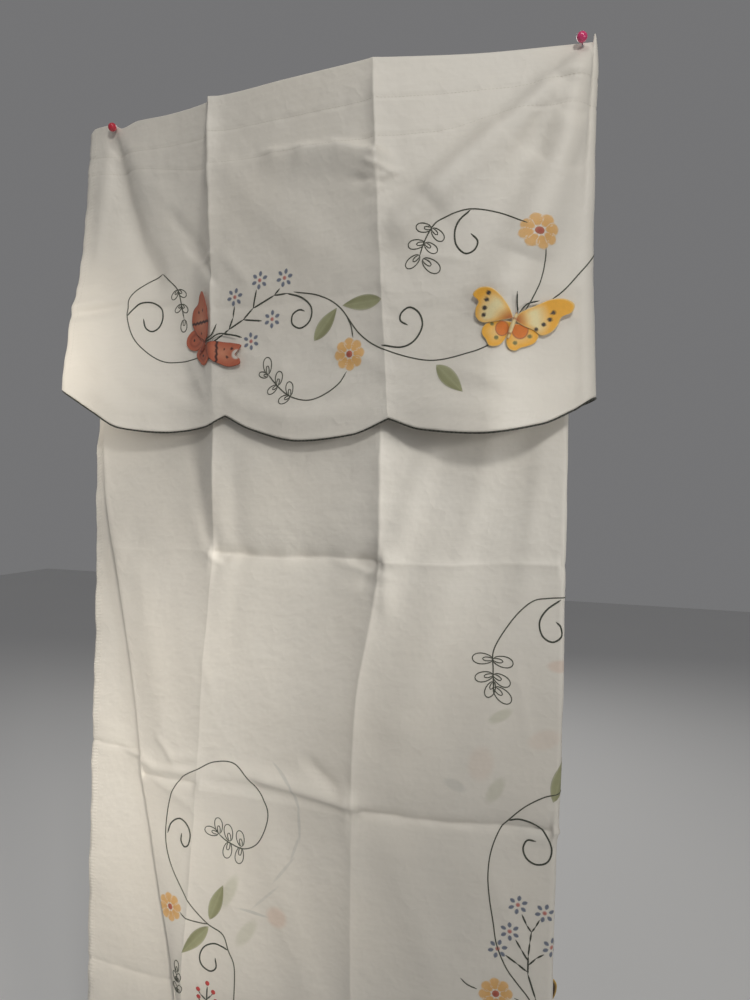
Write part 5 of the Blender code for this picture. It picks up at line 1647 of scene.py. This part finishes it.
def disc(bundle, sheet, w, z, radius, inner, outer, height, rings=3, sectors=12):
    """Small raised dot, such as a flower's middle or a berry."""
    points, paints, faces = [sheet.place(w, z, height)[0]], [(*inner, 1.0)], []
    for ring in range(1, rings + 1):
        share = ring / rings
        for k in range(sectors):
            a = 2 * math.pi * k / sectors
            lift = height * (1 - share ** 2) + 0.0001
            points.append(sheet.place(w + math.cos(a) * radius * share, z + math.sin(a) * radius * share,
                                      lift)[0])
            paints.append((*mixed(inner, outer, share ** 2), 1.0))
    for k in range(sectors):
        n = (k + 1) % sectors
        faces.append((0, 1 + n, 1 + k))
        for ring in range(rings - 1):
            c, d = 1 + ring * sectors, 1 + (ring + 1) * sectors
            faces.append((c + k, c + n, d + n, d + k))
    bundle.add(points, faces, None, paints)


def petal_paint(t, s):
    """Orange petal: deeper near the middle, paler towards its rim, and an ivory margin."""
    tone = mixed(ORANGE_IN, ORANGE_OUT, t * 1.2 - 0.1)
    rim = max(abs(s), abs(2 * t - 1))
    return mixed(tone, PAPER, (rim - 0.86) / 0.2)


def blue_paint(t, s):
    return mixed(mixed(GREY_BLUE, BLUE_PALE, abs(s) * 0.5 + (1 - t) * 0.3), PAPER,
                 (max(abs(s), abs(2 * t - 1)) - 0.9) / 0.3)


def leaf_paint(t, s):
    """Olive leaf: one half darker than the other, paler towards the base."""
    tone = mixed(OLIVE_DARK, OLIVE_PALE, 0.55 + 0.4 * s - 0.25 * t)
    tone = mixed(tone, OLIVE_PALE, 0.5 * math.exp(-abs(s) / 0.1))
    return mixed(tone, PAPER, (max(abs(s), abs(2 * t - 1)) - 0.92) / 0.25)


def orange_flower(prints, sheet, w, z, turn):
    for k in range(8):
        patch(prints, sheet, w, z, turn + 45 * k, 0.004, 0.0142, 0.0126,
              lambda t: math.sin(math.pi * min(max(t, 0.0), 1.0) ** 1.25) ** 0.62 if 0 < t < 1 else 0.04,
              petal_paint)
    disc(prints, sheet, w, z, 0.0038, FLOWER_RED, (0.5, 0.17, 0.1), 0.0006)


def blue_flower(prints, sheet, w, z, turn):
    for k in range(6):
        patch(prints, sheet, w, z, turn + 60 * k + 14, 0.004, 0.0064, 0.0044,
              lambda t: math.sin(math.pi * min(max(t, 0.0), 1.0)) ** 0.6 if 0 < t < 1 else 0.05,
              blue_paint, 5, 4)
    disc(prints, sheet, w, z, 0.0025, (0.46, 0.13, 0.09), (0.66, 0.45, 0.42), 0.0004, 2, 10)


def sprig_leaf(threads, sheet, w, z, angle, length):
    """Outline of a small leaf with a smaller loop inside, both starting at the twig."""
    a = math.radians(angle)
    for long_, wide in ((length, length * 0.62), (length * 0.5, length * 0.22)):
        loop = []
        for k in range(13):
            turn = 2 * math.pi * k / 12
            reach = long_ * (1 - math.cos(turn)) / 2
            aside = wide / 2 * math.sin(turn) * (0.74 + 0.26 * reach / long_)
            loop.append((w + math.cos(a) * reach - math.sin(a) * aside,
                         z + math.sin(a) * reach + math.cos(a) * aside))
        strand(threads, sheet, loop, 0.0012, 0.00055, 0.002)


def draw(motifs, sheet, move_w, move_z, threads, curls, prints):
    """Lays one group of motifs on its sheet."""
    def laid(w, z):
        return w / 1000 + move_w, z / 1000 + move_z

    def moved(points):
        return [laid(w, z) for w, z in points]

    for row in motifs["vines"]:
        strand(threads, sheet, moved(row), 0.00145, 0.00065)
    for row in motifs["thick"]:
        strand(curls, sheet, moved(row), 0.00195, 0.00085, 0.0018)
    for row in motifs["twigs"]:
        for start, end in zip(moved(row), moved(row)[1:]):
            strand(curls, sheet, [start, end], 0.00195, 0.00085, 0.0018)
    for w, z, angle, length in motifs["sprigs"]:
        sprig_leaf(threads, sheet, *laid(w, z), angle, length / 1000)
    for w0, z0, w1, z1 in motifs["leaves"]:
        angle = math.degrees(math.atan2(z1 - z0, w1 - w0))
        length = math.hypot(w1 - w0, z1 - z0) / 1000
        patch(prints, sheet, *laid(w0, z0), angle, 0.0, length, 0.0165,
              lambda t: max(0.03, math.sin(math.pi * t ** 0.85) ** 0.9) if 0 < t < 1 else 0.03,
              leaf_paint, 14, 8)
    for w, z, turn in motifs["orange"]:
        orange_flower(prints, sheet, *laid(w, z), turn)
    for w, z, turn in motifs["blue"]:
        blue_flower(prints, sheet, *laid(w, z), turn)
    for w, z in motifs["berries"]:
        disc(prints, sheet, *laid(w, z), 0.003, (0.52, 0.06, 0.05), (0.46, 0.05, 0.05), 0.0011)


pattern = {}
for label, sheet in (("valance", VALANCE), ("panel", PANEL)):
    threads, curls, prints = (Bundle(f"{label}_{kind}") for kind in ("vines", "curls", "print"))
    for motifs, on, move_w, move_z in LAID:
        if on is sheet:
            draw(motifs, sheet, move_w, move_z, threads, curls, prints)
    pattern[label] = (threads, curls, prints)
    print(label, "pattern:", sum(len(b.faces) for b in pattern[label]), "faces")

# %% Pattern pieces
print_look = printed_cloth("flower_print", 0.6)
pattern_pieces = {}
for label, (threads, curls, prints) in pattern.items():
    pattern_pieces[label] = [add_piece(threads.name, threads.mesh(), vine_green),
                             add_piece(curls.name, curls.mesh(), curl_green),
                             add_piece(prints.name, prints.mesh(), print_look)]

# %% [markdown]
# ## Stitched hems
# Machine stitches hold each hem: short, slightly sunk, a few millimetres apart. Two lines across the valance
# close a flat pocket for a rod. Each stitch is its own small bead of ivory thread that follows the cloth.

# %% Stitches
STITCH, PITCH, STITCH_WIDE, STITCH_HIGH = 0.0026, 0.0037, 0.00065, 0.00038


def stitch_line(bundle, sheet, path):
    """Separate stitches along a path of w, z."""
    even = curve_through(path, PITCH)
    for k in range(len(even) - 1):
        way = even[k + 1] - even[k]
        ends = [sheet.place(*(even[k] + way * share)) for share in (0.0, STITCH / PITCH)]
        along = (ends[1][0] - ends[0][0])
        points = []
        for share, size in ((0.0, 0.45), (0.25, 1.0), (0.75, 1.0), (1.0, 0.45)):
            normal = ends[0][1].lerp(ends[1][1], share)
            side = normal.cross(along).normalized()
            spot = ends[0][0] + along * share
            points += [spot - side * STITCH_WIDE / 2 * size - normal * 0.0001,
                       spot + normal * STITCH_HIGH * size,
                       spot + side * STITCH_WIDE / 2 * size - normal * 0.0001]
        faces = [(k3, k3 + 1, k3 + 4, k3 + 3) for k3 in (0, 1, 3, 4, 6, 7)]
        bundle.add(points, faces)


def across_line(sheet, rows):
    """Stitched line across the whole sheet, at heights from a table of w, z."""
    way = np.linspace(sheet.w[0, 0] + 0.004, sheet.w[0, -1] - 0.004, 60)
    return list(zip(way, smooth(rows, way)))


def side_line(sheet, column, inset, foot):
    """Stitched line down a side hem."""
    rows = range(0, len(sheet.grid) - 1, 6)
    return [(sheet.w[i, column] + inset, sheet.grid[i, column, 2]) for i in rows
            if sheet.grid[i, column, 2] > foot]


hem_stitches = Bundle("panel_stitches")
for column, inset in ((0, 0.009), (-1, -0.009)):
    stitch_line(hem_stitches, PANEL, side_line(PANEL, column, inset, -DROP + 0.004))
stitch_line(hem_stitches, PANEL, across_line(PANEL, ((-1.0, -DROP + 0.024), (2.0, -DROP + 0.024))))
heading_stitches = Bundle("valance_stitches")
for seam in HEADING_SEAMS:
    stitch_line(heading_stitches, VALANCE, across_line(VALANCE, seam))
for column, inset in ((0, 0.009), (-1, -0.009)):
    stitch_line(heading_stitches, VALANCE, side_line(VALANCE, column, inset, -0.3))

ivory_thread = thread("ivory_thread", (0.66, 0.62, 0.54), (0.8, 0.77, 0.69), 700.0, 1.0, 0.0001)
pattern_pieces["panel"].append(add_piece("panel_stitches", hem_stitches.mesh(), ivory_thread))
pattern_pieces["valance"].append(add_piece("valance_stitches", heading_stitches.mesh(), ivory_thread))
print("stitches:", (len(hem_stitches.faces) + len(heading_stitches.faces)) // 6)

# %% [markdown]
# ## The floor, and what the sheets were cut to
# The floor gets a plain pale finish. Each sheet's size before it was hemmed is measured along the cloth,
# hems included. The width is that of the middle row, because the scalloped edge is longer than the cloth is
# wide.

# %% Floor and cut sizes
floor_material, floor_shader, floor_wire = new_material("studio_floor")
floor_vector = body_place(floor_wire)
floor_cloud = noise(floor_wire, floor_vector, 0.8, 3.0)
join(floor_wire, floor_shader, "Base Color",
     floor_cloud.mix(colour(0.74, 0.74, 0.74), colour(0.79, 0.785, 0.775)))
floor_shader.inputs["Roughness"].default_value = 0.85
floor.data.materials.append(floor_material)


def cut_size(sheet, foot):
    """Width and length of a sheet before it was hemmed."""
    return (round(float(np.median(sheet.walked[:, -1])) + 2 * SIDE_HEM, 3),
            round(float(down_lengths(sheet.grid)[-1].max()) + foot, 3))


panel_flat = cut_size(PANEL, FOOT_HEM)
valance_flat = cut_size(VALANCE, PIPED_HEM)
